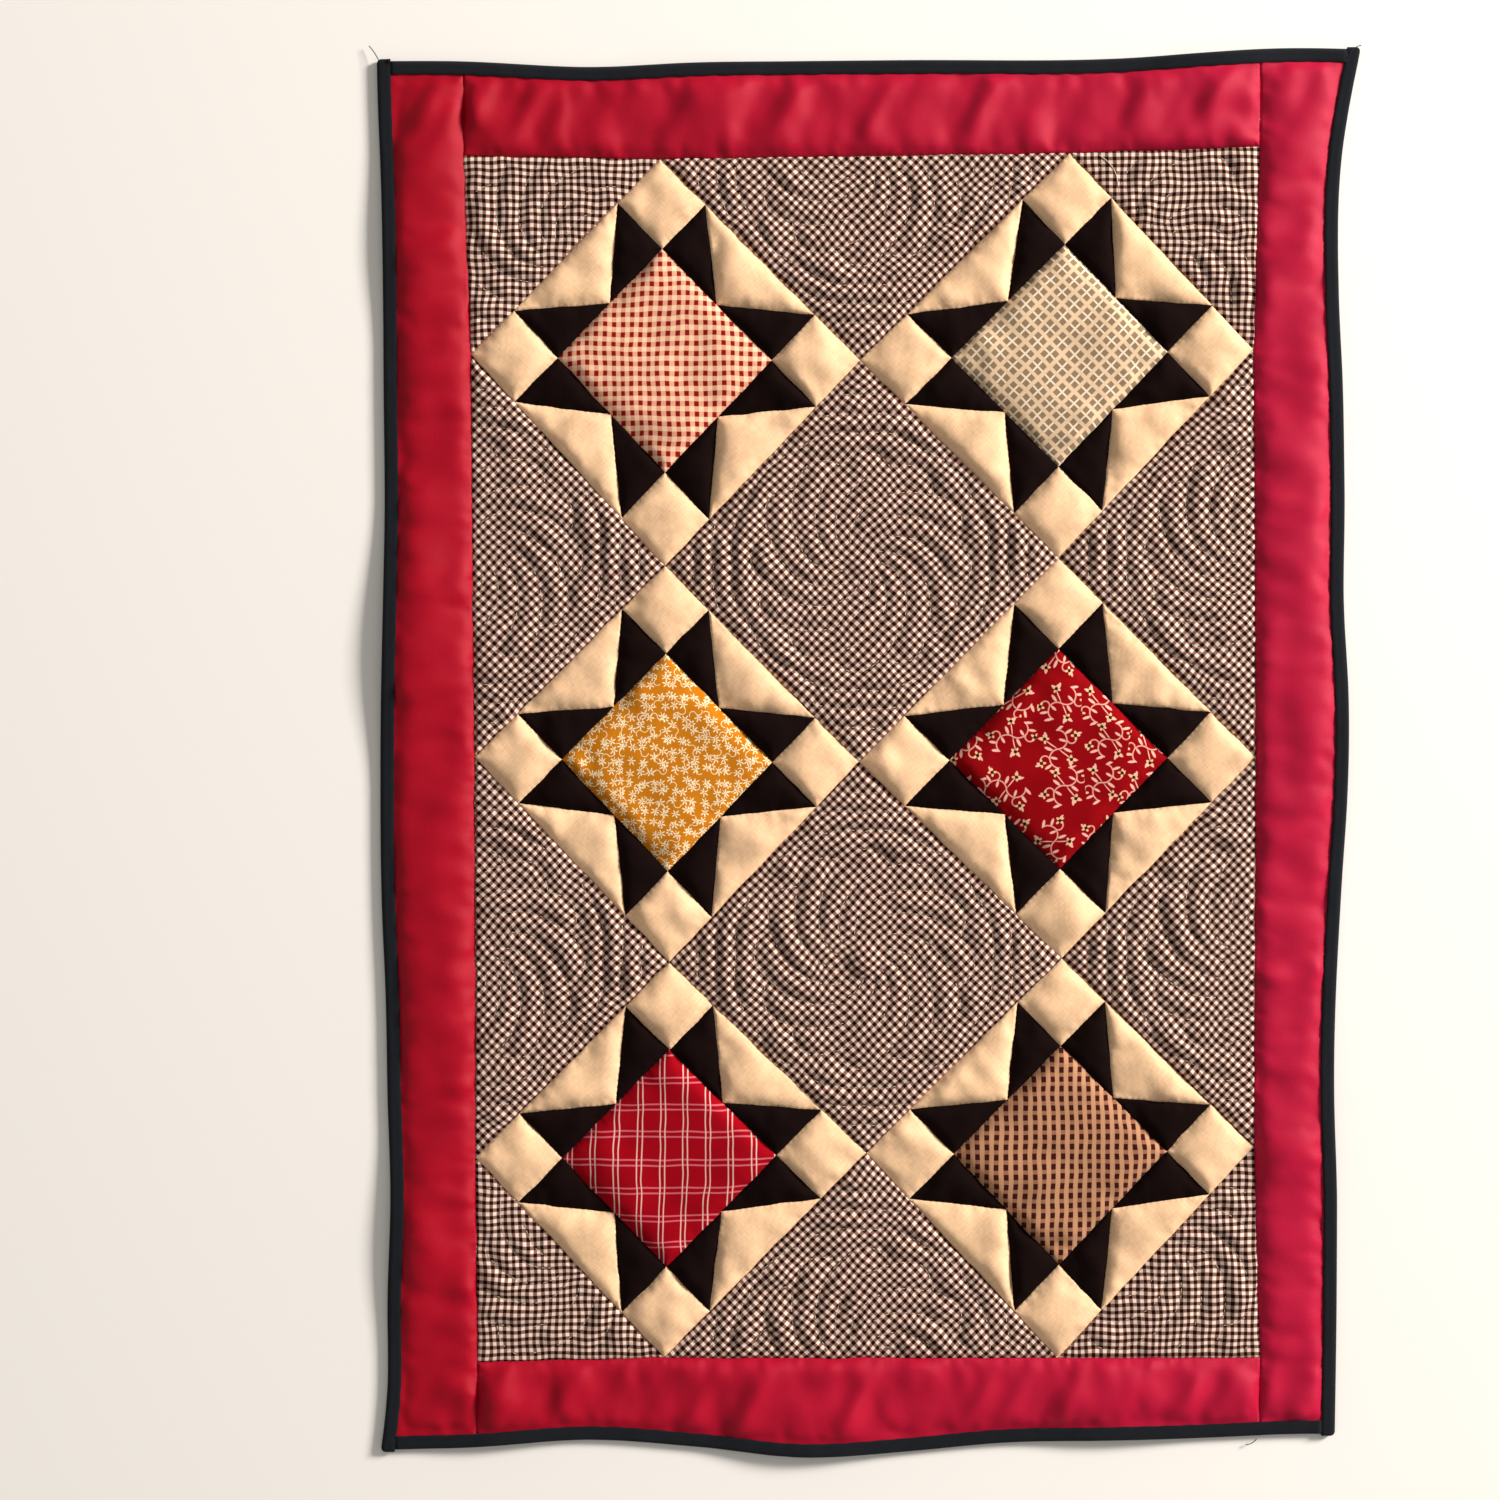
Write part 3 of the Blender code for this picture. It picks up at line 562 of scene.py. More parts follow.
SEWN_HEIGHT = heights(TOP_TREE, SEWN_POINTS)
missed = np.isnan(SEWN_HEIGHT)
SEWN_HEIGHT[missed] = np.interp(np.nonzero(missed)[0], np.nonzero(~missed)[0], SEWN_HEIGHT[~missed])
quilted = SEWN_KIND == QUILT
SEWN_HEIGHT[quilted] = np.minimum(SEWN_HEIGHT[quilted], QUILTED_HIGHEST)
evened = np.ones(2 * EVENED + 1) / (2 * EVENED + 1)
SEWN_HEIGHT = np.convolve(np.pad(SEWN_HEIGHT, EVENED, mode="edge"), evened, "valid")
knot_away, knot_near = nearest(KNOTS)
solid_height = heights(TOP_TREE, KNOTS)
solid_height = np.where(np.isnan(solid_height), SEWN_HEIGHT[knot_near], solid_height)
soft_height = softened(solid_height.reshape(GRID), SOFTEN).ravel()


def spread(heights_found):
    """The low, middle and high values of many heights, in mm."""
    return np.round(np.percentile(heights_found, (1, 50, 99)) / MM, 2)


print("height of the top in mm:", spread(soft_height))

# %% [markdown]
# ## Simulate the top
# The top is one grid of cloth, a little too large for the lines that hold it, as patchwork is once
# the quilting draws it in. Points near a sewn line are pinned, and the wadding's push is a light
# upward pull. The spare cloth then buckles by itself into puffs and puckers between the lines.

# %% Cloth simulation
HOLD_REACH = 2.2 * MM
SPARE = 0.02
WADDING_PULL = -0.2
CLOTH_FRAMES = 14
PIN_FULL, PIN_NONE = 0.35, 1.3
PIN_LEVELS = 5
DRIFT_CAP = 1.5 * MM
LOWEST_START, HIGHEST_START = -0.1 * MM, 0.25 * MM
COTTON_CLOTH = {
    "quality": 5, "mass": 0.2, "tension_stiffness": 15, "compression_stiffness": 15,
    "shear_stiffness": 8, "bending_stiffness": 0.05, "shrink_min": -SPARE, "shrink_max": -SPARE,
}
rng = np.random.default_rng(7)


def settled_top():
    """The simulated places of all knots."""
    bpy.ops.object.select_all(action="DESELECT")
    bpy.ops.mesh.primitive_grid_add(x_subdivisions=GRID[1] - 1, y_subdivisions=GRID[0] - 1, size=1)
    sheet = bpy.context.object
    hold = 1 - np.exp(-(knot_away / HOLD_REACH) ** 2)
    start = SEWN_HEIGHT[knot_near] + (soft_height - SEWN_HEIGHT[knot_near]) * hold
    start = start + hold * rng.uniform(LOWEST_START, HIGHEST_START, len(start))
    sheet.data.vertices.foreach_set("co", np.column_stack((KNOTS, start)).ravel())
    pinned = sheet.vertex_groups.new(name="sewn_down")
    weight = np.clip((PIN_NONE - knot_away / KNOT) / (PIN_NONE - PIN_FULL), 0, 1)
    weight[depth_in(KNOTS) < BINDING_WIDTH] = 1.0
    levels = np.round(weight * PIN_LEVELS) / PIN_LEVELS
    for level in np.unique(levels[levels > 0]):
        pinned.add(np.nonzero(levels == level)[0].tolist(), float(level), "REPLACE")
    cloth = sheet.modifiers.new("Cloth", "CLOTH")
    for setting, value in COTTON_CLOTH.items():
        setattr(cloth.settings, setting, value)
    cloth.settings.vertex_group_mass = pinned.name
    cloth.settings.effector_weights.gravity = WADDING_PULL
    cloth.collision_settings.use_collision = False
    cloth.point_cache.frame_end = CLOTH_FRAMES
    for number in range(1, CLOTH_FRAMES + 1):
        scene.frame_set(number)
    bpy.ops.object.modifier_apply(modifier=cloth.name)
    scene.frame_set(1)
    places = np.array([v.co for v in sheet.data.vertices])
    bpy.data.objects.remove(sheet)
    return places


settled = settled_top()
drift = np.clip(settled[:, :2] - KNOTS, -DRIFT_CAP, DRIFT_CAP)
SETTLED = [values.reshape(GRID) for values in (*drift.T, settled[:, 2])]
print("the cloth rose over the solids by, in mm:", spread(settled[:, 2] - soft_height))

# %% [markdown]
# ## From knots to a smooth surface
# Any place between the knots is read with a cubic B-spline, which bends as smoothly as cloth does.
# On top of it go the puckers that fan out from a hand-sewn line. They follow a random but smooth
# curve along the line and fade away from it, so each line gets its own. The broad ones are laid on
# the knots, where those of all lines melt into each other, and the short ones are worked out at
# each point. The borders have long folds that lean, as a strip does when it is eased on by hand.
# Along a seam, each hand stitch also pulls in a small dip.

# %% Puckers
PUCKERS = {
    # kind: length along the line, reach across it and height in mm, of the broad and the short ones
    RIM: ((8.5, 11.0, 1.9), (4.2, 3.0, 0.50)),
    SEAM: ((9.0, 6.5, 1.5), (4.2, 2.8, 0.50)),
    QUILT: ((7.0, 3.2, 1.0), (4.2, 2.2, 0.42)),
    HEM: ((11.0, 20.0, 4.0), (7.0, 4.5, 0.75)),
    SIDE_HEM: ((30.0, 20.0, 2.4), (7.0, 4.0, 0.60)),
}
RANDOM_COUNT, SHORT_SHIFT = 65536, 977
random_heights = rng.uniform(-1, 1, RANDOM_COUNT)


def wander(places, length, shift):
    """A smooth random curve along a line, from -1 to 1."""
    at = places / length
    first = np.floor(at).astype(int)
    t = at - first
    t = t * t * (3 - 2 * t)
    values = random_heights[(first + shift) % len(random_heights)]
    following = random_heights[(first + shift + 1) % len(random_heights)]
    return values * (1 - t) + following * t


def fanned(away, reach):
    """How strong a pucker is away from its line: 1 at its reach, and nothing on the line."""
    return away / reach * np.exp((1 - (away / reach) ** 2) / 2)


def short_puckers(away, near):
    """The height that short puckers add at points this far from these sewn places."""
    total = np.zeros(len(away))
    for kind, (_, sizes) in PUCKERS.items():
        length, reach, height = (size * MM for size in sizes)
        mine = SEWN_KIND[near] == kind
        along = wander(SEWN_ALONG[near[mine]], length, SHORT_SHIFT)
        total[mine] = height * fanned(away[mine], reach) * along
    return total


# %% Broad puckers of all lines
LEAN = 0.5
CREASE, CREASE_WIDTH = 0.55, 0.22
UNEVEN, UNEVEN_PASSES = 0.5 * MM, 10
MELT = 2
FOLDS_END = 8.0 * MM
KIND_SHIFT = 31


def broad_puckers():
    """The broad puckers of all lines, on the knots."""
    total = np.zeros(len(KNOTS))
    from_seam = nearest(KNOTS, SEWN_BY_KIND[RIM])[0]
    for kind, (sizes, _) in PUCKERS.items():
        length, reach, height = (size * MM for size in sizes)
        away, near = nearest(KNOTS, SEWN_BY_KIND[kind])
        places = SEWN_ALONG[near]
        if kind in (HEM, SIDE_HEM):
            along, across = (0, 1) if kind == HEM else (1, 0)
            places = KNOTS[:, along] - LEAN * KNOTS[:, across]
        height_here = wander(places, length, KIND_SHIFT * kind)
        if kind in (HEM, SIDE_HEM):
            height_here -= CREASE * np.exp(-((height_here / CREASE_WIDTH) ** 2))
            height_here *= 1 - np.exp(-((from_seam / FOLDS_END) ** 2))
        total += height * fanned(away, reach) * height_here
    return softened(total.reshape(GRID), MELT)


def smooth_noise(passes, size):
    """A random grid on the knots, smooth over more knots with more passes."""
    return softened(rng.normal(size=GRID), passes) * size * math.sqrt(math.pi * 2 * passes)


broad = broad_puckers() + smooth_noise(UNEVEN_PASSES, UNEVEN)
print("broad puckers in mm:", spread(broad))

# %% Surface of the top
LINE_REACH = 2.4 * MM
LOWEST_DIP = -0.35 * MM
PUFF, PUFF_HIGHEST = 2.1, 4.4 * MM
HAND_WAVER = 0.2 * MM
BASE_PASSES = 12
SEAM_STITCH, STITCH_DIP, DIP_REACH = 3.9 * MM, 0.42 * MM, 1.4 * MM
base = softened(SEWN_HEIGHT[knot_near].reshape(GRID), BASE_PASSES)
puffs = softened(SETTLED[2], 1)
jog = [smooth_noise(2, HAND_WAVER) for _ in range(2)]


def sampled(grid, points):
    """A grid's value at flat points, by a cubic B-spline."""
    place = (points - KNOTS[0]) / KNOT
    first = np.floor(place).astype(int)
    f = place - first
    middle = 3 * f**3 - 6 * f**2 + 4, -3 * f**3 + 3 * f**2 + 3 * f + 1
    weights = np.stack(((1 - f) ** 3, *middle, f**3)) / 6
    total = np.zeros(len(points))
    for i in range(4):
        for j in range(4):
            row = np.clip(first[:, 1] + j - 1, 0, grid.shape[0] - 1)
            column = np.clip(first[:, 0] + i - 1, 0, grid.shape[1] - 1)
            total += weights[i, :, 0] * weights[j, :, 1] * grid[row, column]
    return total


def stitch_dips(away, near):
    """How deep each hand stitch of a seam pulls the cloth in beside it."""
    beside = STITCH_DIP * np.exp(-((away / DIP_REACH) ** 2)) * (SEWN_KIND[near] <= SEAM)
    return beside * np.cos(math.pi * SEWN_ALONG[near] / SEAM_STITCH) ** 2


def surface(points):
    """Where flat points of the top come to lie once it is sewn."""
    away, near = nearest(points)
    sewn, between = SEWN_HEIGHT[near], sampled(base, points)
    held = 1 - np.exp(-((away / LINE_REACH) ** 2))
    rise = PUFF_HIGHEST * np.tanh(PUFF * (sampled(puffs, points) - between) / PUFF_HIGHEST)
    rise = np.maximum(rise + sampled(broad, points), LOWEST_DIP)
    z = sewn + (between - sewn + rise) * held + short_puckers(away, near) - stitch_dips(away, near)
    bound = depth_in(points) < BINDING_WIDTH
    z[bound] = sewn[bound]
    drift = np.stack([sampled(SETTLED[axis], points) * held + sampled(jog[axis], points) * ~bound
                      for axis in (0, 1)], axis=1)
    return np.column_stack((points + drift, z))


# %% [markdown]
# ## Cut a patch
# A patch is a net of triangles: rows of points close to its sides, where the cloth rolls down into
# the seam, points along each quilting line, and an even scatter between. Its rim turns down to a
# floor, so that each patch is a closed shape and no seam shows a hole. Its UV map holds the flat
# place in millimetres, turned to the cut of the cloth, for the weave and print.

# %% Points inside a patch
LINE_STEP = 1.9 * MM
LINE_SIDE = 1.05 * MM
THINNED_SHARE = 0.7
CLEAR_OF_RIM = 2.9 * MM
CLEAR_OF_LINE = 1.5 * MM


def divided(corners, step):
    """A closed outline with points about a step apart."""
    points = []
    for start, end in zip(corners, np.roll(corners, -1, axis=0)):
        count = max(1, round(float(np.linalg.norm(end - start)) / step))
        points += [start + (end - start) * i / count for i in range(count)]
    return np.array(points)


def shrunk(outline, by):
    """An anticlockwise outline moved inwards by a small distance."""
    run = np.roll(outline, -1, axis=0) - outline
    run /= np.linalg.norm(run, axis=1)[:, None]
    inward = np.stack((-run[:, 1], run[:, 0]), axis=1)
    middle = inward + np.roll(inward, 1, axis=0)
    return outline + 2 * by * middle / np.sum(middle**2, axis=1)[:, None]


def thinned(points, apart):
    """Points with only one left in each small cell."""
    cells = np.round(points / apart).astype(int)
    return points[np.sort(np.unique(cells, axis=0, return_index=True)[1])]


def scatter(outline, step):
    """Points of an even triangular net inside an outline."""
    low, high = outline.min(axis=0), outline.max(axis=0)
    rise = step * math.sqrt(3) / 2
    rows, columns = int((high[1] - low[1]) / rise) + 2, int((high[0] - low[0]) / step) + 2
    j, i = np.mgrid[0:rows, 0:columns]
    net = np.stack((low[0] + (i + (j % 2) / 2) * step, low[1] + j * rise), axis=-1).reshape(-1, 2)
    return net[is_inside(outline, net)]


def inner_points(rim, rows, lines, step, tree=ALL_SEWN):
    """The points inside a patch, in rows near its rim, along its quilting and scattered between."""
    fill = scatter(rim, step)
    if lines:
        beside = []
        for line in lines:
            run = respaced(line, LINE_STEP)
            across = np.gradient(run, axis=0)
            across = np.stack((-across[:, 1], across[:, 0]), axis=1)
            across /= np.linalg.norm(across, axis=1)[:, None]
            beside += [run, run + LINE_SIDE * across, run - LINE_SIDE * across]
        beside = thinned(np.vstack(beside), LINE_SIDE * THINNED_SHARE)
        beside = beside[is_inside(rim, beside) & (distance_to(closed(rim), beside) > CLEAR_OF_RIM)]
        fill = fill[nearest(fill, tree)[0] > CLEAR_OF_LINE + LINE_SIDE]
    fill = fill[distance_to(closed(rim), fill) > CLEAR_OF_RIM]
    return np.vstack([*rows, *([beside] if lines else []), fill])


# %% A net and its place on the cloth
SAME_POINT = 1e-7
SLOW_WAVER, QUICK_WAVER = (60, 0.4), (6, 0.13)
slow_waver = [smooth_noise(*SLOW_WAVER) for _ in range(2)]
quick_waver = [smooth_noise(*QUICK_WAVER) for _ in range(2)]


def net_over(rim, points=()):
    """(points, triangles, rim loop) of a net over a rim and the points inside it."""
    places = [tuple(p) for p in rim] + [tuple(p) for p in points]
    made = delaunay_2d_cdt(places, [], [list(range(len(rim)))], 1, SAME_POINT)
    faces = made[2]
    sides = {(f[i], f[(i + 1) % 3]) for f in faces for i in range(3)}
    follow = {a: b for a, b in sides if (b, a) not in sides}
    loop = [min(follow)]
    while follow[loop[-1]] != loop[0]:
        loop.append(follow[loop[-1]])
    return np.array([tuple(p) for p in made[0]]), faces, loop


def cloth_place(flat, cut_turn, give=1.0):
    """Flat points as places on the cloth in mm, turned to its cut, with the threads' waver."""
    x, y = (flat.T[axis] / MM + sampled(slow_waver[axis], flat) + give * sampled(quick_waver[axis], flat)
            for axis in (0, 1))
    c, s = math.cos(cut_turn), math.sin(cut_turn)
    return np.stack((c * x + s * y, c * y - s * x), axis=1)


# %% Closed patches
ROW_DEPTHS = (0.45 * MM, 1.0 * MM, 1.9 * MM)
ROW_STEP = 1.35 * MM
FILL_STEP = 2.45 * MM
TURN_DOWN = 0.75 * MM
TURN_REACH = 0.75 * MM
PATCH_DEPTH = 0.95 * MM


def closed_up(net, lid):
    """(faces, flat places) of a net and a lid over the same rim, joined by a wall."""
    (flat, faces, loop), (lid_flat, lid_faces, lid_loop) = net, lid
    first = len(flat)
    match = {tuple(np.round(lid_flat[i] / MM, 4)): first + i for i in lid_loop}
    lid_rim = [match[tuple(np.round(flat[i] / MM, 4))] for i in loop]
    faces = list(faces) + [[first + i for i in reversed(face)] for face in lid_faces]
    for i, top in enumerate(loop):
        j = (i + 1) % len(loop)
        faces.append((loop[j], top, lid_rim[i], lid_rim[j]))
    return faces, np.vstack((flat, lid_flat))


def patch(outline, cut_turn, lines=(), step=FILL_STEP, convex=True, give=1.0):
    """One closed patch: (points, faces, flat places turned to the cloth's cut, in mm)."""
    rim = divided(outline, ROW_STEP)
    rows = [divided(shrunk(outline, by), ROW_STEP) if convex else shrunk(rim, by) for by in ROW_DEPTHS]
    net = net_over(rim, inner_points(rim, rows, lines, step))
    places = surface(net[0])
    from_rim = distance_to(closed(outline), net[0])
    places[:, 2] -= TURN_DOWN * np.exp(-((from_rim / TURN_REACH) ** 2))
    floor_net = net_over(net[0][net[2]])
    feet = surface(floor_net[0]) - (0, 0, PATCH_DEPTH)
    faces, flat = closed_up(net, floor_net)
    return np.vstack((places, feet)), faces, cloth_place(flat, cut_turn, give)


# %% Pieces of several patches
SHARP_TURN = math.radians(75)


def made_up(name, patches, finish, slot, nodes=()):
    """One object of several patches, with its finish, its body and the solids that it stands for."""
    places, faces, cloth = [], [], []
    for points, triangles, flat in patches:
        first = sum(map(len, places))
        places.append(points)
        cloth.append(flat)
        faces += [[first + i for i in face] for face in triangles]
    mesh = bpy.data.meshes.new(name)
    mesh.from_pydata(np.vstack(places).tolist(), [], faces)
    corner = np.zeros(len(mesh.loops), int)
    mesh.loops.foreach_get("vertex_index", corner)
    layer = mesh.uv_layers.new(name="cloth")
    layer.data.foreach_set("uv", np.vstack(cloth)[corner].ravel())
    mesh.shade_smooth()
    mesh.set_sharp_from_angle(angle=SHARP_TURN)
    piece = bpy.data.objects.new(name, mesh)
    scene.collection.objects.link(piece)
    mesh.materials.append(finish)
    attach(piece, "root")
    if nodes:
        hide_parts(*nodes)
    return piece


# %% [markdown]
# ## Woven cotton
# Every cloth here is plain-weave cotton: threads pass over and under each other, so close up its
# face is a fine egg-crate. The threads are about 0.3 mm apart on the real cloth. They are drawn
# 0.5 mm apart, which is as coarse as they need to be to show in a close view. Cotton has no
# shine, only a soft bloom of fibre ends at grazing angles, which is the shader's sheen.

# %% Cotton finish
THREAD_PITCH = 0.5
WEAVE_DEPTH = 0.05 * MM
FUZZ_SCALE, FUZZ_SHARE = 0.9, 0.8
SLUB_LONG, SLUB_WIDE = 0.12, 1.1
CLOUD_SCALE, CLOUD_SHARE = 0.035, 1.4
LIGHT_LOW, LIGHT_HIGH = 1.2, 2.2
STRIPE_SOFT = 0.15


def cotton(name, paint, roughness=0.92, sheen=0.04, slub=0.08, gloss=0.08):
    """A woven cotton material. paint(tree, flat place) gives its colour socket or node."""
    material, tree, shader = new_finish(name)
    place = put(tree, "UVMap", uv_map="cloth")
    colour = paint(tree, place)
    threads = put(tree, "VectorMath", place, (math.pi / THREAD_PITCH,) * 3, operation="MULTIPLY")
    waves = put(tree, "SeparateXYZ", put(tree, "VectorMath", threads, operation="SINE"))
    crate = put(tree, "Math", waves.outputs[0], waves.outputs[1], operation="MULTIPLY")
    fuzz = put(tree, "TexNoise", place, FUZZ_SCALE, 2.0, noise_dimensions="2D")
    fuzz = put(tree, "Math", fuzz, FUZZ_SHARE, operation="MULTIPLY")
    height = put(tree, "Math", crate, fuzz, operation="ADD")
    slubs = []
    for scale in ((SLUB_LONG, SLUB_WIDE, 1), (SLUB_WIDE, SLUB_LONG, 1)):
        drawn_out = put(tree, "VectorMath", place, scale, operation="MULTIPLY")
        slubs.append(put(tree, "TexNoise", drawn_out, 1.0, 2.0))
    light = put(tree, "Math", *slubs, operation="ADD")
    cloudy = put(tree, "TexNoise", place, CLOUD_SCALE, 3.0)
    cloudy = put(tree, "Math", cloudy, CLOUD_SHARE, operation="MULTIPLY")
    light = put(tree, "Math", light, cloudy, operation="ADD")
    shade = put(tree, "MapRange", light, LIGHT_LOW, LIGHT_HIGH, 1 - slub, 1 + slub)
    mottle_and_painted_shade = put(tree, "HueSaturation", at={"Value": shade, "Color": colour})
    tree.links.new(mottle_and_painted_shade.outputs[0], shader.inputs["Base Color"])
    bump = put(tree, "Bump", 1.0, WEAVE_DEPTH, at={"Height": height})
    tree.links.new(bump.outputs[0], shader.inputs["Normal"])
    shader.inputs["Roughness"].default_value = roughness
    shader.inputs["Sheen Weight"].default_value = sheen
    shader.inputs["Sheen Roughness"].default_value = 0.6
    shader.inputs["Specular IOR Level"].default_value = gloss
    return material


def plain(code):
    """A paint of one dyed colour."""
    return lambda tree, place: linear(code)


def stripes(tree, axis, pitch, width):
    """A mask of stripes: 1 in a stripe, with a soft edge. All sizes are in mm."""
    fold = put(tree, "Math", axis, pitch / 2, operation="PINGPONG")
    return put(tree, "MapRange", fold, width / 2 - STRIPE_SOFT, width / 2 + STRIPE_SOFT, 1.0, 0.0)


# %% [markdown]
# ## Prints and weaves
# A woven check is two sets of coloured bands that cross. A printed cloth repeats a small drawing.
# The sprigs and flowers below are charted as a few ellipses and half circles, and a cell
# texture strews them over the cloth. Every size is in millimetres on the real cloth.

# %% Checks
def checked(column, row, ground, band, cross, bands_both_ways=True):
    """A paint of bands, each a (pitch, width), on a ground. They cross in a third colour."""
    def paint(tree, place):
        axes = put(tree, "SeparateXYZ", place)
        columns, rows = stripes(tree, axes.outputs[0], *column), stripes(tree, axes.outputs[1], *row)
        bands = put(tree, "Math", columns, rows, operation="MAXIMUM") if bands_both_ways else columns
        both = put(tree, "Math", columns, rows, operation="MULTIPLY")
        pale = put(tree, "Mix", bands, linear(ground), linear(band), data_type="RGBA")
        return put(tree, "Mix", both, pale, linear(cross), data_type="RGBA")
    return paint


gingham = checked(column=(4.6, 2.3), row=(4.6, 2.3), ground="e6cebf", band="7f5d50", cross="120301")
red_check = checked(column=(5.75, 2.8), row=(6.3, 3.2), ground="f3cba6", band="e39d80", cross="800f02")
brown_check = checked(column=(5.8, 2.9), row=(6.1, 3.6), ground="bc8a67", band="96654a",
                      cross="390a03", bands_both_ways=False)


# %% Grey lattice
ON_POINT = math.radians(45)
LATTICE_PITCH, CLUSTER, SPLIT = 10.8, 8.4, 1.2


def grey_lattice(tree, place):
    """Clusters of four grey squares on point, parted by pale lines."""
    turned = put(tree, "VectorRotate", place, at={"Angle": ON_POINT}, rotation_type="Z_AXIS")
    axes = put(tree, "SeparateXYZ", turned)
    cluster, split = (
        put(tree, "Math", *(stripes(tree, axes.outputs[i], LATTICE_PITCH, width) for i in (0, 1)),
            operation=joined) for width, joined in ((CLUSTER, "MULTIPLY"), (SPLIT, "MAXIMUM")))
    grey = put(tree, "Mix", split, linear("90785c"), linear("edd7bc"), data_type="RGBA")
    return put(tree, "Mix", cluster, linear("e1c29f"), grey, data_type="RGBA")


# %% Red plaid
PLAID_LINES = (
    # axis, pitch of the pairs, half the gap in a pair, width, colour and strength
    (1, 17.3, 1.7, 1.0, "d97580", 0.65),
    (0, 14.5, 1.5, 0.75, "f0cfc0", 0.72),
)


def red_plaid(tree, place):
    """Pairs of pale lines both ways on a red ground, with the upright ones over the level ones."""
    axes = put(tree, "SeparateXYZ", place)
    colour = linear("980012")
    for axis, pitch, away, width, code, share in PLAID_LINES:
        fold = put(tree, "Math", axes.outputs[axis], pitch / 2, operation="PINGPONG")
        off = put(tree, "Math", put(tree, "Math", fold, away, operation="SUBTRACT"), operation="ABSOLUTE")
        line = put(tree, "MapRange", off, width / 2 - STRIPE_SOFT, width / 2 + STRIPE_SOFT, share, 0.0)
        colour = put(tree, "Mix", line, colour, linear(code), data_type="RGBA")
    return colour


# %% Ellipses and half circles
FAR_OFF = 9.0
LEAF_EDGE = (0.85, 1.1)
STEM_EDGE = (0.3, 0.7)


def leaves(tree, place, table):
    """A mask of ellipses. Each row: middle across and up, turn in degrees, half length and width."""
    nearest_one = FAR_OFF
    for x, y, turn, half_length, half_width in table:
        local = put(tree, "Mapping", place, (x, y, 0), (0, 0, math.radians(turn)),
                    (half_length, half_width, 1), vector_type="TEXTURE")
        share = put(tree, "VectorMath", local, operation="LENGTH")
        nearest_one = put(tree, "Math", share, nearest_one, operation="MINIMUM")
    return put(tree, "MapRange", nearest_one, *LEAF_EDGE, 1.0, 0.0)


def stems(tree, place, width, table):
    """A mask of half circles of stem. Each row: middle across, middle up, turn in degrees, radius."""
    drawn = 0.0
    for x, y, turn, radius in table:
        local = put(tree, "Mapping", place, (x, y, 0), (0, 0, math.radians(turn)), (radius, radius, 1),
                    vector_type="TEXTURE")
        away = put(tree, "VectorMath", local, operation="LENGTH")
        off = put(tree, "Math", put(tree, "Math", away, 1.0, operation="SUBTRACT"), operation="ABSOLUTE")
        edge = [share * width / radius for share in STEM_EDGE]
        ring = put(tree, "MapRange", off, *edge, 1.0, 0.0)
        half = put(tree, "Math", put(tree, "SeparateXYZ", local).outputs[1], 0.0, operation="GREATER_THAN")
        curve = put(tree, "Math", ring, half, operation="MULTIPLY")
        drawn = put(tree, "Math", curve, drawn, operation="MAXIMUM")
    return drawn


def strewn(tree, place, pitch, loose):
    """The place round the nearest of many scattered points, turned its own way."""
    cell = put(tree, "TexVoronoi", place, 1 / pitch, at={"Randomness": loose}, voronoi_dimensions="2D")
    local = put(tree, "VectorMath", place, cell.outputs["Position"], operation="SUBTRACT")
    turn = put(tree, "Math", cell.outputs["Color"], 2 * math.pi, operation="MULTIPLY")
    return put(tree, "VectorRotate", local, at={"Angle": turn}, rotation_type="Z_AXIS")


def petals(x, y, reach, count, half_length, half_width):
    """The chart of a ring of petals."""
    turns = [2 * math.pi * i / count for i in range(count)]
    return [(x + reach * math.cos(turn), y + reach * math.sin(turn), math.degrees(turn),
             half_length, half_width) for turn in turns]


# %% Mustard cloth with leaf sprigs
SPRIG_PITCH, FLOWER_PITCH, TENDRIL_PITCH = 6.6, 13.5, 11.0
TENDRIL_WIDTH = 0.42
SIX_PETALS = (1.55, 6, 0.85, 0.5)
ELSEWHERE = (37.0, 91.0, 0)
SPRIG = (
    (0.0, 1.8, 90, 1.4, 0.42),
    (1.4, 0.9, 35, 1.3, 0.40),
    (-1.4, 0.9, 145, 1.3, 0.40),
    (1.1, -0.9, -38, 1.2, 0.38),
    (-1.1, -0.9, 218, 1.2, 0.38),
    (0.0, -1.4, 90, 1.6, 0.2),
)
TENDRIL = ((-2.2, 0.0, 0, 2.2), (2.2, 0.0, 180, 2.2))


def mustard_sprig(tree, place):
    """Off-white sprigs, tendrils and six-petalled flowers, thickly strewn over mustard."""
    drawn = leaves(tree, strewn(tree, place, SPRIG_PITCH, loose=0.6), SPRIG)
    moved = put(tree, "VectorMath", place, ELSEWHERE, operation="ADD")
    flowers = leaves(tree, strewn(tree, moved, FLOWER_PITCH, loose=0.4), petals(0, 0, *SIX_PETALS))
    tendrils = stems(tree, strewn(tree, moved, TENDRIL_PITCH, loose=0.5), TENDRIL_WIDTH, TENDRIL)
    for mask in (flowers, tendrils):
        drawn = put(tree, "Math", drawn, mask, operation="MAXIMUM")
    return put(tree, "Mix", drawn, linear("c5760a"), linear("f6e4ba"), data_type="RGBA")


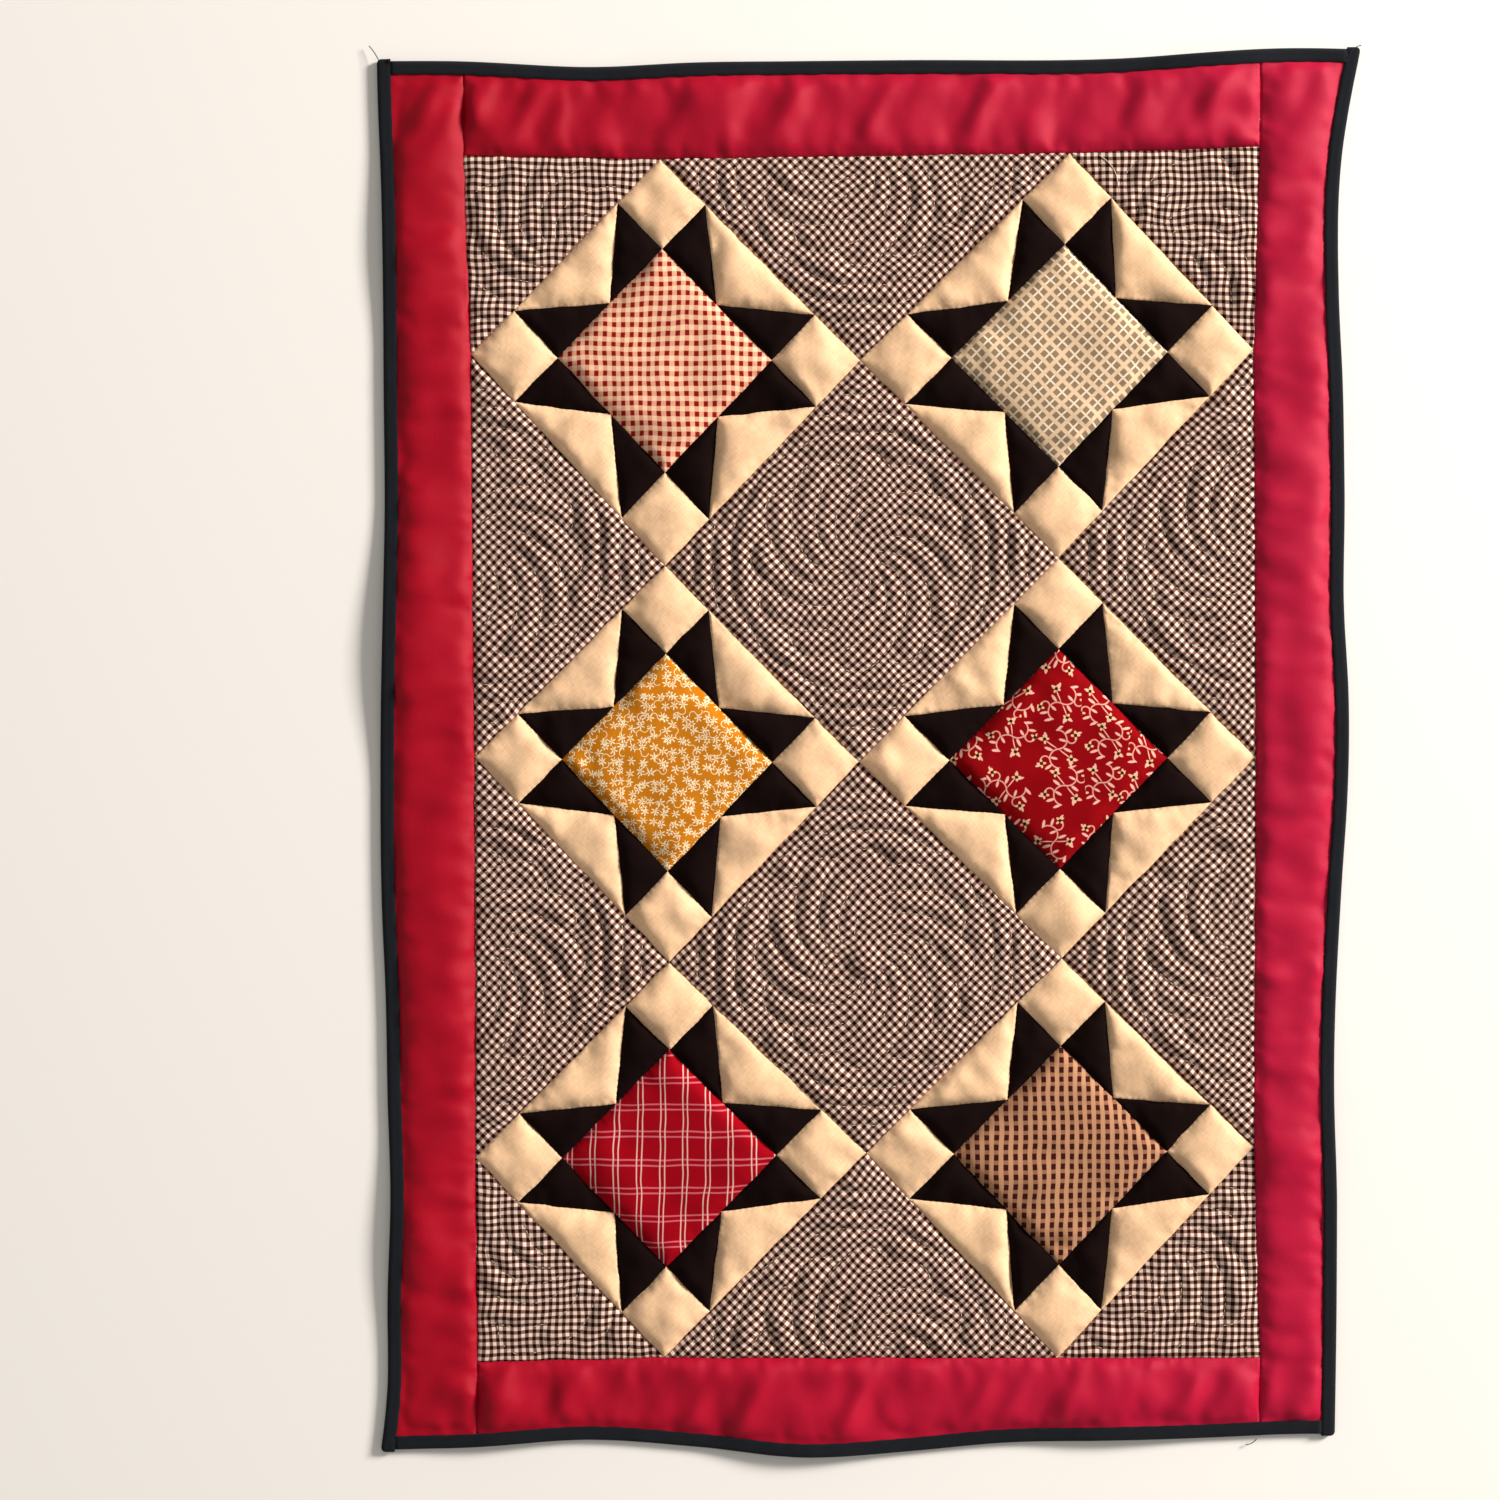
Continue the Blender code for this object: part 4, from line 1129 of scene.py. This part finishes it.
# %% Red cloth with a vine
VINE_PITCH, VINE_STEM = 28.5, 0.8
HALF_STEMS = ((-5.9, 0.0, 0, 5.9), (-5.9, 8.7, -90, 2.8))
HALF_LEAVES = (
    (-13.0, 2.6, 125, 2.6, 0.85),
    (-10.2, 7.4, 118, 2.6, 0.85),
    (-5.2, 3.2, 70, 2.2, 0.8),
    (0.9, 5.6, 62, 2.7, 0.9),
    (-3.3, -3.8, 48, 4.2, 0.36),
    (-7.4, -9.0, 86, 2.2, 0.8),
    (-9.2, -6.3, 10, 2.2, 0.8),
    (-8.9, 13.6, 100, 1.8, 0.7),
)
HALF_FLOWERS = ((-7.6, 11.4), (-6.9, -7.3))
FOUR_PETALS = (1.75, 4, 1.2, 0.75)
BUD = 1.1


def vine_chart():
    """Stems, leaves, petals and dark buds of one spray, from a half that is also turned round."""
    both = (1, 0), (-1, 180)
    curves = [(s * x, s * y, turn + half, radius) for s, half in both for x, y, turn, radius in HALF_STEMS]
    foliage = [(s * x, s * y, turn, long, wide) for s, _ in both for x, y, turn, long, wide in HALF_LEAVES]
    flowers = [(s * x, s * y) for s, _ in both for x, y in HALF_FLOWERS]
    rings = [petal for x, y in flowers for petal in petals(x, y, *FOUR_PETALS)]
    return curves, foliage, rings, [(x, y, 0, BUD, BUD) for x, y in flowers]


def red_vine(tree, place):
    """Curling sprays with leaves and small dark-eyed flowers, strewn on deep red."""
    spray = strewn(tree, place, VINE_PITCH, loose=0.35)
    curves, foliage, rings, buds = vine_chart()
    colour = linear("8b0008")
    for mask, code in (
        (stems(tree, spray, VINE_STEM, curves), "e6a290"),
        (leaves(tree, spray, foliage), "efb3a2"),
        (leaves(tree, spray, rings), "e6bd8c"),
        (leaves(tree, spray, buds), "35100e"),
    ):
        colour = put(tree, "Mix", mask, colour, linear(code), data_type="RGBA")
    return colour


# %% Red cloth for the borders
BORDER_SPAN = 0.62


def red_painted_paler_right(tree, place):
    """Deep red with painted light: paler and pinker towards the right, where the light comes from."""
    across = put(tree, "SeparateXYZ", put(tree, "TexCoord").outputs["Object"]).outputs[0]
    # Painted light: the red is mixed towards a paler pink across the borders, more so on the right.
    painted_light_share = put(tree, "MapRange", across, -BORDER_SPAN / 2, BORDER_SPAN / 2, 0.0, 1.0)
    return put(tree, "Mix", painted_light_share, linear("a2001b"), linear("b40f37"), data_type="RGBA")


# %% [markdown]
# ## The bolts of cloth
# Every cloth is cotton, and what was done to the yarn or the face sets them apart. Most of the dark
# and deep red ones get no sheen, because even a little of it greys them.

# %% All cloths
# Gingham is woven from dyed yarns in even bands, so it has three tones and no ink on its face.
GINGHAM = cotton("checked_cotton", gingham, sheen=0.0)
# Calico is bleached or dyed, then printed and pressed. Its ink soaks in, so print and ground are
# equally matt. The red plaid and the two small checks are made to look woven.
PRINTS = {
    "red_check": cotton("red_checked_cotton", red_check),
    "grey_lattice": cotton("lattice_printed_cotton", grey_lattice),
    "mustard_sprig": cotton("sprig_printed_cotton", mustard_sprig),
    "red_vine": cotton("vine_printed_cotton", red_vine, sheen=0.0),
    "red_plaid": cotton("red_plaid_cotton", red_plaid, sheen=0.0),
    "brown_check": cotton("brown_checked_cotton", brown_check),
}
# Muslin is woven from raw yarn and left unbleached: cream, with streaks where the yarn is thick.
CREAM = cotton("unbleached_muslin", plain("eec49a"), slub=0.17)
# Black calico is dyed through. It has gone a little brown with age.
BLACK = cotton("black_cotton", plain("100403"), sheen=0.0)
# Polished cotton is starched and pressed between hot rollers, which gives it a broad soft gloss.
RED = cotton("polished_red_cotton", red_painted_paler_right, roughness=0.5, sheen=0.0, gloss=0.15)
# The binding is black cotton tape, cut and pressed in folds. Handling has raised a faint bloom.
CHARCOAL = cotton("black_binding_cotton", plain("12161b"), sheen=0.06, slub=0.2)
# The back is the same muslin after more washes, so it is paler and more even.
MUSLIN_BACK = cotton("back_muslin", plain("ddcbae"), slub=0.08)
print("cloths:", len({*PRINTS.values(), GINGHAM, CREAM, BLACK, RED, CHARCOAL, MUSLIN_BACK}))

# %% [markdown]
# ## Cut the pieces of the top
# A quilter cuts each patch with an allowance and sews it to its neighbours. Here each is cut at its
# seam lines, with a hair of overlap so that no gap shows in a seam, and the patches of one cloth in
# a block are one object. A patch that stands on its corner has its weave turned by half a right
# angle, as on the real quilt. The checked cloth is loosely woven, so its threads waver.

# %% Cut the star blocks
SEAM_LAP = 0.12 * MM
for name in BLOCKS:
    print_name = name.removeprefix("star_block_")
    for cloth, finish, slot in (("print", PRINTS[print_name], print_name), ("cream", CREAM, "cream_patch"),
                                ("black", BLACK, "black_patch")):
        patches = []
        for shape in STAR[cloth]:
            corners = np.array([in_block(CORNERS[name], u, v) for u, v in shape])
            patches.append(patch(shrunk(corners, -SEAM_LAP / 2), 0.0 if cloth == "print" else ON_POINT))
        made_up(f"{print_name}_star_{cloth}", patches, finish, slot, [name])
print("star blocks:", len(BLOCKS))

# %% Cut the checked pieces
CHECK_GIVE = 2.8
for name in CHECKED:
    turned = 0.0 if name.startswith("corner") else ON_POINT
    square = patch(shrunk(CORNERS[name], -SEAM_LAP), turned, QUILTING[name], give=CHECK_GIVE)
    made_up(f"checked_{name}", [square], GINGHAM, "gingham", [name])
print("checked pieces:", len(CHECKED))

# %% Cut the borders
BORDER_STEP = 2.6 * MM
for side in SIDES:
    turned = 0.0 if side in UPRIGHT else math.pi / 2
    strip = patch(shrunk(OUTLINES[f"border_{side}"], -SEAM_LAP), turned, step=BORDER_STEP, convex=False)
    made_up(f"red_{side}_border", [strip], RED, "border_red", [f"border_{side}"])

# %% [markdown]
# ## The back
# Hand quilting goes through every layer, so the plain muslin back is drawn up along the same
# whirls. The patchwork seams don't reach it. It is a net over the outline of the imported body, with
# extra points beside the quilting, and it lies flat on the floor between the lines.

# %% Back cloth
BACK_STEP, BACK_TOP_STEP = 4.0 * MM, 30 * MM
BACK_RIM = 0.2 * MM
DIMPLE_RISE, DIMPLE_REACH = 0.8 * MM, 2.4 * MM
BACK_PUCKER = 0.8
ALL_RUNS = [run for runs in QUILTING.values() for run in runs]


def knots_filled(values):
    """A grid of values on the knots, where an empty knot takes the value of its nearest full one."""
    full = np.nonzero(~np.isnan(values))[0]
    return softened(values[nearest(KNOTS, search_tree(KNOTS, full))[1]].reshape(GRID), SOFTEN)


BODY_LOW = knots_filled(heights(BODY_TREE, KNOTS, upwards=True))
BODY_TOP = knots_filled(heights(BODY_TREE, KNOTS))


def underside(points):
    """Where flat points of the back come to lie."""
    away, near = nearest(points, SEWN_BY_KIND[QUILT])
    dimple = DIMPLE_RISE * np.exp(-((away / DIMPLE_REACH) ** 2))
    ripple = BACK_PUCKER * np.abs(short_puckers(away, near))
    return np.column_stack((points, np.maximum(sampled(BODY_LOW, points), 0) + dimple + ripple))


def back_patch():
    """The back as one closed patch, with its quilted face down."""
    rim = divided(shrunk(OUTLINES["quilted_body"], BACK_RIM), BACK_STEP)
    net = net_over(rim, inner_points(rim, [], ALL_RUNS, BACK_STEP, SEWN_BY_KIND[QUILT]))
    top_net = net_over(net[0][net[2]], scatter(rim, BACK_TOP_STEP))
    tops = np.column_stack((top_net[0], sampled(BODY_TOP, top_net[0])))
    faces, flat = closed_up(net, top_net)
    return np.vstack((underside(net[0]), tops)), [face[::-1] for face in faces], cloth_place(flat, 0.0)


back = made_up("muslin_back", [back_patch()], MUSLIN_BACK, "back_muslin", ["quilted_body"])
print("back:", len(back.data.polygons), "faces")

# %% [markdown]
# ## The binding
# A strip of black cotton is folded over each edge and hemmed down front and back, with its raw
# edges turned under. One section through the strip is enough: it is swept along the edge, and
# Solidify gives it the cloth's thickness. Hem stitches every 14 mm hold the front fold, which bows
# a little between them. The upright strips lap the ends of the level ones. Their own ends are
# pinched shut and a little rounded, as folded tape is once it is turned in.

# %% Section of the binding
ON_BORDER, ON_BACK = 1, 0
BINDING_SECTION = np.array([
    # mm in from the edge, mm over what it is measured from, what that is
    (6.3, 0.25, ON_BORDER),
    (8.1, 0.25, ON_BORDER),
    (8.5, 0.55, ON_BORDER),
    (8.1, 0.85, ON_BORDER),
    (6.4, 3.30, ON_BACK),
    (4.2, 3.50, ON_BACK),
    (2.3, 3.42, ON_BACK),
    (1.1, 3.00, ON_BACK),
    (0.45, 2.20, ON_BACK),
    (0.3, 1.20, ON_BACK),
    (0.5, 0.20, ON_BACK),
    (1.2, -0.50, ON_BACK),
    (2.6, -0.80, ON_BACK),
    (6.0, -0.82, ON_BACK),
    (8.0, -0.80, ON_BACK),
    (8.4, -0.55, ON_BACK),
    (8.0, -0.32, ON_BACK),
    (6.3, -0.30, ON_BACK),
])
print("rows in the section:", len(BINDING_SECTION))

# %% Binding strips
BINDING_THICKNESS = 0.5 * MM
BINDING_STATION = 2.8 * MM
HEM_PITCH = 14 * MM
HEM_BOW, HEM_LIFT = 0.35 * MM, 0.2 * MM
BUTT_OVERLAP = 0.2 * MM
PINCH_LENGTH, PINCHED_SHUT = 2.0 * MM, 0.12
CORNER_ROUND, ROUNDED_AT = 3.0 * MM, (0.08, 0.25, 0.5, 0.9)
BODY_HALF = 1.3 * MM
FACE_RIPPLE, FACE_RIPPLE_LENGTH, RIPPLE_SHIFT = 0.22 * MM, 9 * MM, 101
FRONT_FACE = 3


def bound_edge(side):
    """The binding strip of one side, as a folded sheet."""
    upright = side in UPRIGHT
    start, end = EDGES[side][0][[0, -1]] + (0 if upright else np.array((-BUTT_OVERLAP, BUTT_OVERLAP)))
    along = np.linspace(start, end, round((end - start) / BINDING_STATION))
    if upright:
        ends = np.array(ROUNDED_AT) * CORNER_ROUND
        along = np.sort(np.r_[along, start + ends, end - ends])
    outer, under = (through(EDGES[side][0], values, along) for values in EDGES[side][1:])
    under = np.maximum(under, BINDING_FOOT)
    border = SEWN_HEIGHT[nearest(edge_line(side, along, BINDING_WIDTH))[1]]
    between = np.abs(np.sin(math.pi * along / HEM_PITCH))
    from_end = np.minimum(along - start, end - along)
    pinch = np.sqrt(np.clip(from_end * (2 * PINCH_LENGTH - from_end), 0, PINCH_LENGTH**2)) / PINCH_LENGTH
    pinch = np.where(from_end > PINCH_LENGTH, 1, np.maximum(pinch, PINCHED_SHUT)) if upright else 1.0
    from_corner = 1 - np.minimum(from_end / CORNER_ROUND, 1)
    rounded = CORNER_ROUND * (1 - np.sqrt(1 - from_corner**2)) if upright else 0.0
    ripple = FACE_RIPPLE * wander(along, FACE_RIPPLE_LENGTH, len(side) * RIPPLE_SHIFT)
    columns, cloth = [], []
    width = 0.0
    for row, (inset, rise, on_border) in enumerate(BINDING_SECTION):
        before = BINDING_SECTION[max(row - 1, 0)]
        risen = rise - before[1] if on_border == before[2] else 0
        width += math.hypot(inset - before[0], risen)
        bow = HEM_BOW * between if on_border else 0
        across = outer + INWARDS[side] * (inset * MM + bow + rounded * (1 - inset * MM / BINDING_WIDTH))
        z = (border if on_border else under) + rise * MM
        z = z + (HEM_LIFT * between if on_border else 0) + (ripple if rise > FRONT_FACE else 0)
        z = under + BODY_HALF + (z - under - BODY_HALF) * pinch
        columns.append(laid_out(side, across, along, z))
        cloth.append(np.stack((along / MM, np.full(len(along), width)), axis=1))
    places, cloth = np.stack(columns, axis=1), np.stack(cloth, axis=1)
    stations, rows = places.shape[:2]
    faces = [(i * rows + j, i * rows + j + 1, (i + 1) * rows + j + 1, (i + 1) * rows + j)
             for i in range(stations - 1) for j in range(rows - 1)]
    folded = places.reshape(-1, 3), faces, cloth.reshape(-1, 2)
    strip = made_up(f"black_{side}_binding", [folded], CHARCOAL, "binding_black", [f"binding_{side}"])
    solidify = strip.modifiers.new("Solidify", "SOLIDIFY")
    solidify.thickness = BINDING_THICKNESS
    solidify.offset = 0.0
    bpy.ops.object.select_all(action="DESELECT")
    strip.select_set(True)
    bpy.context.view_layer.objects.active = strip
    bpy.ops.object.modifier_apply(modifier=solidify.name)
    print(side, "binding:", round(float(end - start) / MM), "mm long, section", round(width, 1), "mm")


for side in SIDES:
    bound_edge(side)

# %% [markdown]
# ## Stitches
# The quilting is a running stitch in pale cotton thread: one stitch shows, the next is underneath.
# A stitch is a short twisted cord that dives into the cloth at both ends. It is shaped once, from a
# small sphere, and copied along every quilting line, front and back. Black stitches hold the hem.

# %% Thread finish
TWIST_PITCH = 0.35
TWIST_DEPTH = 0.06 * MM
# Painted shade: how dark the grooves between the plies are painted, and how light the ply tops are.
PAINTED_SHADE_BETWEEN_PLIES, PAINTED_LIGHT_ON_PLIES = 0.8, 1.05


def thread(name, code, sheen):
    """Twisted cotton thread: its plies show as slanting ridges, with painted shade in the grooves between
    them.
    """
    material, tree, shader = new_finish(name)
    axes = put(tree, "SeparateXYZ", put(tree, "UVMap", uv_map="cloth"))
    slant = put(tree, "Math", axes.outputs[0], axes.outputs[1], operation="ADD")
    fold = put(tree, "Math", slant, TWIST_PITCH / 2, operation="PINGPONG")
    ridge = put(tree, "MapRange", fold, 0.0, TWIST_PITCH / 2, 0.0, 1.0)
    # Painted shade: the thread's colour is darker in the grooves between its plies and lighter on their
    # tops.
    shade = put(tree, "MapRange", ridge, 0.0, 1.0, PAINTED_SHADE_BETWEEN_PLIES, PAINTED_LIGHT_ON_PLIES)
    mottle_and_painted_shade = put(tree, "HueSaturation", at={"Value": shade, "Color": linear(code)})
    tree.links.new(mottle_and_painted_shade.outputs[0], shader.inputs["Base Color"])
    bump = put(tree, "Bump", 1.0, TWIST_DEPTH, at={"Height": ridge})
    tree.links.new(bump.outputs[0], shader.inputs["Normal"])
    shader.inputs["Roughness"].default_value = 0.75
    shader.inputs["Sheen Weight"].default_value = sheen
    shader.inputs["Specular IOR Level"].default_value = 0.25
    return material


# Sewing cotton is spun in plies that are twisted together and left unglazed, so it is nearly matt.
PALE_THREAD = thread("pale_cotton_thread", "d2bfa6", 0.1)
DARK_THREAD = thread("black_cotton_thread", "14100f", 0.05)

# %% One stitch
STITCH_ARCH, STITCH_SINK = 0.3, 0.12


def stitch_form():
    """(points, faces) of one stitch of length and thickness 1 along X, arched over the cloth."""
    bpy.ops.object.select_all(action="DESELECT")
    bpy.ops.mesh.primitive_uv_sphere_add(segments=6, ring_count=5, radius=0.5,
                                         rotation=(0, math.pi / 2, 0))
    ball = bpy.context.object
    bpy.ops.object.transform_apply(location=False, rotation=True, scale=False)
    points = np.array([v.co for v in ball.data.vertices])
    faces = [list(face.vertices) for face in ball.data.polygons]
    bpy.data.objects.remove(ball)
    points[:, 2] += STITCH_ARCH * (1 - (2 * points[:, 0]) ** 2) - STITCH_SINK
    return points, faces


FORM, FORM_FACES = stitch_form()
print("a stitch has", len(FORM_FACES), "faces")


# %% Running stitches
STITCH_LENGTH, STITCH_PITCH, THREAD_THICKNESS = 2.5 * MM, 4.2 * MM, 0.45 * MM
STITCH_UNEVEN = 0.16


def sewn_with(starts, ends, thickness):
    """Stitches from each start to its end, as one patch."""
    run = ends - starts
    length = np.linalg.norm(run, axis=1)
    ahead = run / length[:, None]
    aside = np.cross((0, 0, 1), ahead)
    aside /= np.linalg.norm(aside, axis=1)[:, None]
    up = np.cross(ahead, aside)
    places = ((starts + ends) / 2)[:, None, :] + (
        ahead[:, None] * FORM[None, :, :1] * length[:, None, None]
        + (aside[:, None] * FORM[None, :, 1:2] + up[:, None] * FORM[None, :, 2:]) * thickness)
    faces = [[i * len(FORM) + j for j in face] for i in range(len(starts)) for face in FORM_FACES]
    along = FORM[None, :, 0] * length[:, None] / MM
    around = np.arctan2(FORM[:, 1], FORM[:, 2]) * thickness / 2 / MM
    cloth = np.stack((along, np.broadcast_to(around, along.shape)), axis=-1)
    return places.reshape(-1, 3), faces, cloth.reshape(-1, 2)


def stitch_ends(lines, start):
    """Flat (starts, ends) of running stitches along lines."""
    starts, ends = [], []
    for line in lines:
        length, place_at = walked(line)
        at = np.arange(start, length - STITCH_LENGTH, STITCH_PITCH)
        long = STITCH_LENGTH * (1 + STITCH_UNEVEN * rng.uniform(-1, 1, len(at)))
        starts.append(place_at(at))
        ends.append(place_at(at + long))
    return np.vstack(starts), np.vstack(ends)


starts, ends = stitch_ends(ALL_RUNS, STITCH_PITCH / 4)
shown = sewn_with(surface(starts), surface(ends), THREAD_THICKNESS)
made_up("quilting_stitches", [shown], PALE_THREAD, "thread")
hidden_starts, hidden_ends = stitch_ends(ALL_RUNS, STITCH_PITCH * 3 / 4)
turned_over = sewn_with(underside(hidden_starts), underside(hidden_ends), -THREAD_THICKNESS)
made_up("quilting_stitches_back", [turned_over], PALE_THREAD, "thread")
print("stitches:", len(starts), "in front,", len(hidden_starts), "behind")

# %% Hem stitches
HEM_STITCH, HEM_REACH, HEM_STITCH_LIFT = 1.7 * MM, 0.5 * MM, 1.2 * MM
starts, ends = [], []
for side in SIDES:
    low, high = EDGES[side][0][[0, -1]] + (HEM_PITCH / 2, -HEM_PITCH / 2)
    places = np.arange(math.ceil(low / HEM_PITCH), high / HEM_PITCH) * HEM_PITCH
    starts.append(edge_line(side, places, BINDING_WIDTH - HEM_STITCH / 2))
    ends.append(edge_line(side, places, BINDING_WIDTH + HEM_REACH))
starts, ends = surface(np.vstack(starts)), surface(np.vstack(ends))
starts[:, 2] += HEM_STITCH_LIFT
made_up("hem_stitches", [sewn_with(starts, ends, THREAD_THICKNESS)], DARK_THREAD, "binding_black")
print("hem stitches:", len(starts))

# %% [markdown]
# ## Loose thread ends
# Four ends of thread were never trimmed: black ones at three places on the edge and a pale one on
# the top. Each is a thin curve that starts in the cloth and curls as it leaves it.

# %% Thread ends
THREAD_ENDS = (
    # across, up, height, direction in degrees, length, curl in degrees, dark
    (-309.6, 436.4, 4.3, 112, 12, 20, True),
    (304.5, 442.0, 5.5, 60, 9, -45, True),
    (246.5, -434.4, 3.4, 240, 8, -50, True),
    (143.5, 379.5, 5.2, -25, 24, -60, False),
)
END_POINTS, END_RADIUS = 9, 0.28 * MM
END_DROP, END_LIFT = 1.6, 0.3


def thread_end(x, y, z, direction, length, curl, dark):
    """One loose end, as a mesh tube."""
    share = np.linspace(0, 1, END_POINTS)
    angle = np.radians(direction + curl * share)
    step = length / (END_POINTS - 1)
    flat = np.cumsum(np.stack((np.cos(angle), np.sin(angle)), axis=1) * step, axis=0) + (x, y)
    heights_up = z - END_DROP * share if dark else surface(flat * MM)[:, 2] / MM + END_LIFT
    knots = np.column_stack((flat * MM, heights_up * MM, np.ones(END_POINTS)))
    bpy.ops.object.select_all(action="DESELECT")
    bpy.ops.curve.primitive_nurbs_path_add()
    path = bpy.context.object
    path.data.splines.clear()
    spline = path.data.splines.new("NURBS")
    spline.points.add(END_POINTS - 1)
    spline.points.foreach_set("co", knots.ravel())
    spline.use_endpoint_u = True
    path.data.bevel_depth = END_RADIUS
    path.data.bevel_resolution = 1
    path.data.use_fill_caps = True
    bpy.ops.object.convert(target="MESH")
    mesh = bpy.context.object.data
    points = np.array([v.co for v in mesh.vertices])
    faces = [list(face.vertices) for face in mesh.polygons]
    bpy.data.objects.remove(bpy.context.object)
    return points, faces, points[:, :2] / MM


for dark, name, finish, slot in ((True, "black_thread_ends", DARK_THREAD, "binding_black"),
                                 (False, "pale_thread_end", PALE_THREAD, "thread")):
    made_up(name, [thread_end(*row) for row in THREAD_ENDS if row[-1] == dark], finish, slot)

triangles = {piece.name: sum(len(face.vertices) - 2 for face in piece.data.polygons)
             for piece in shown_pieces() if "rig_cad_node" not in piece}
print("triangles:", sum(triangles.values()), "most in a piece:", max(triangles.values()))
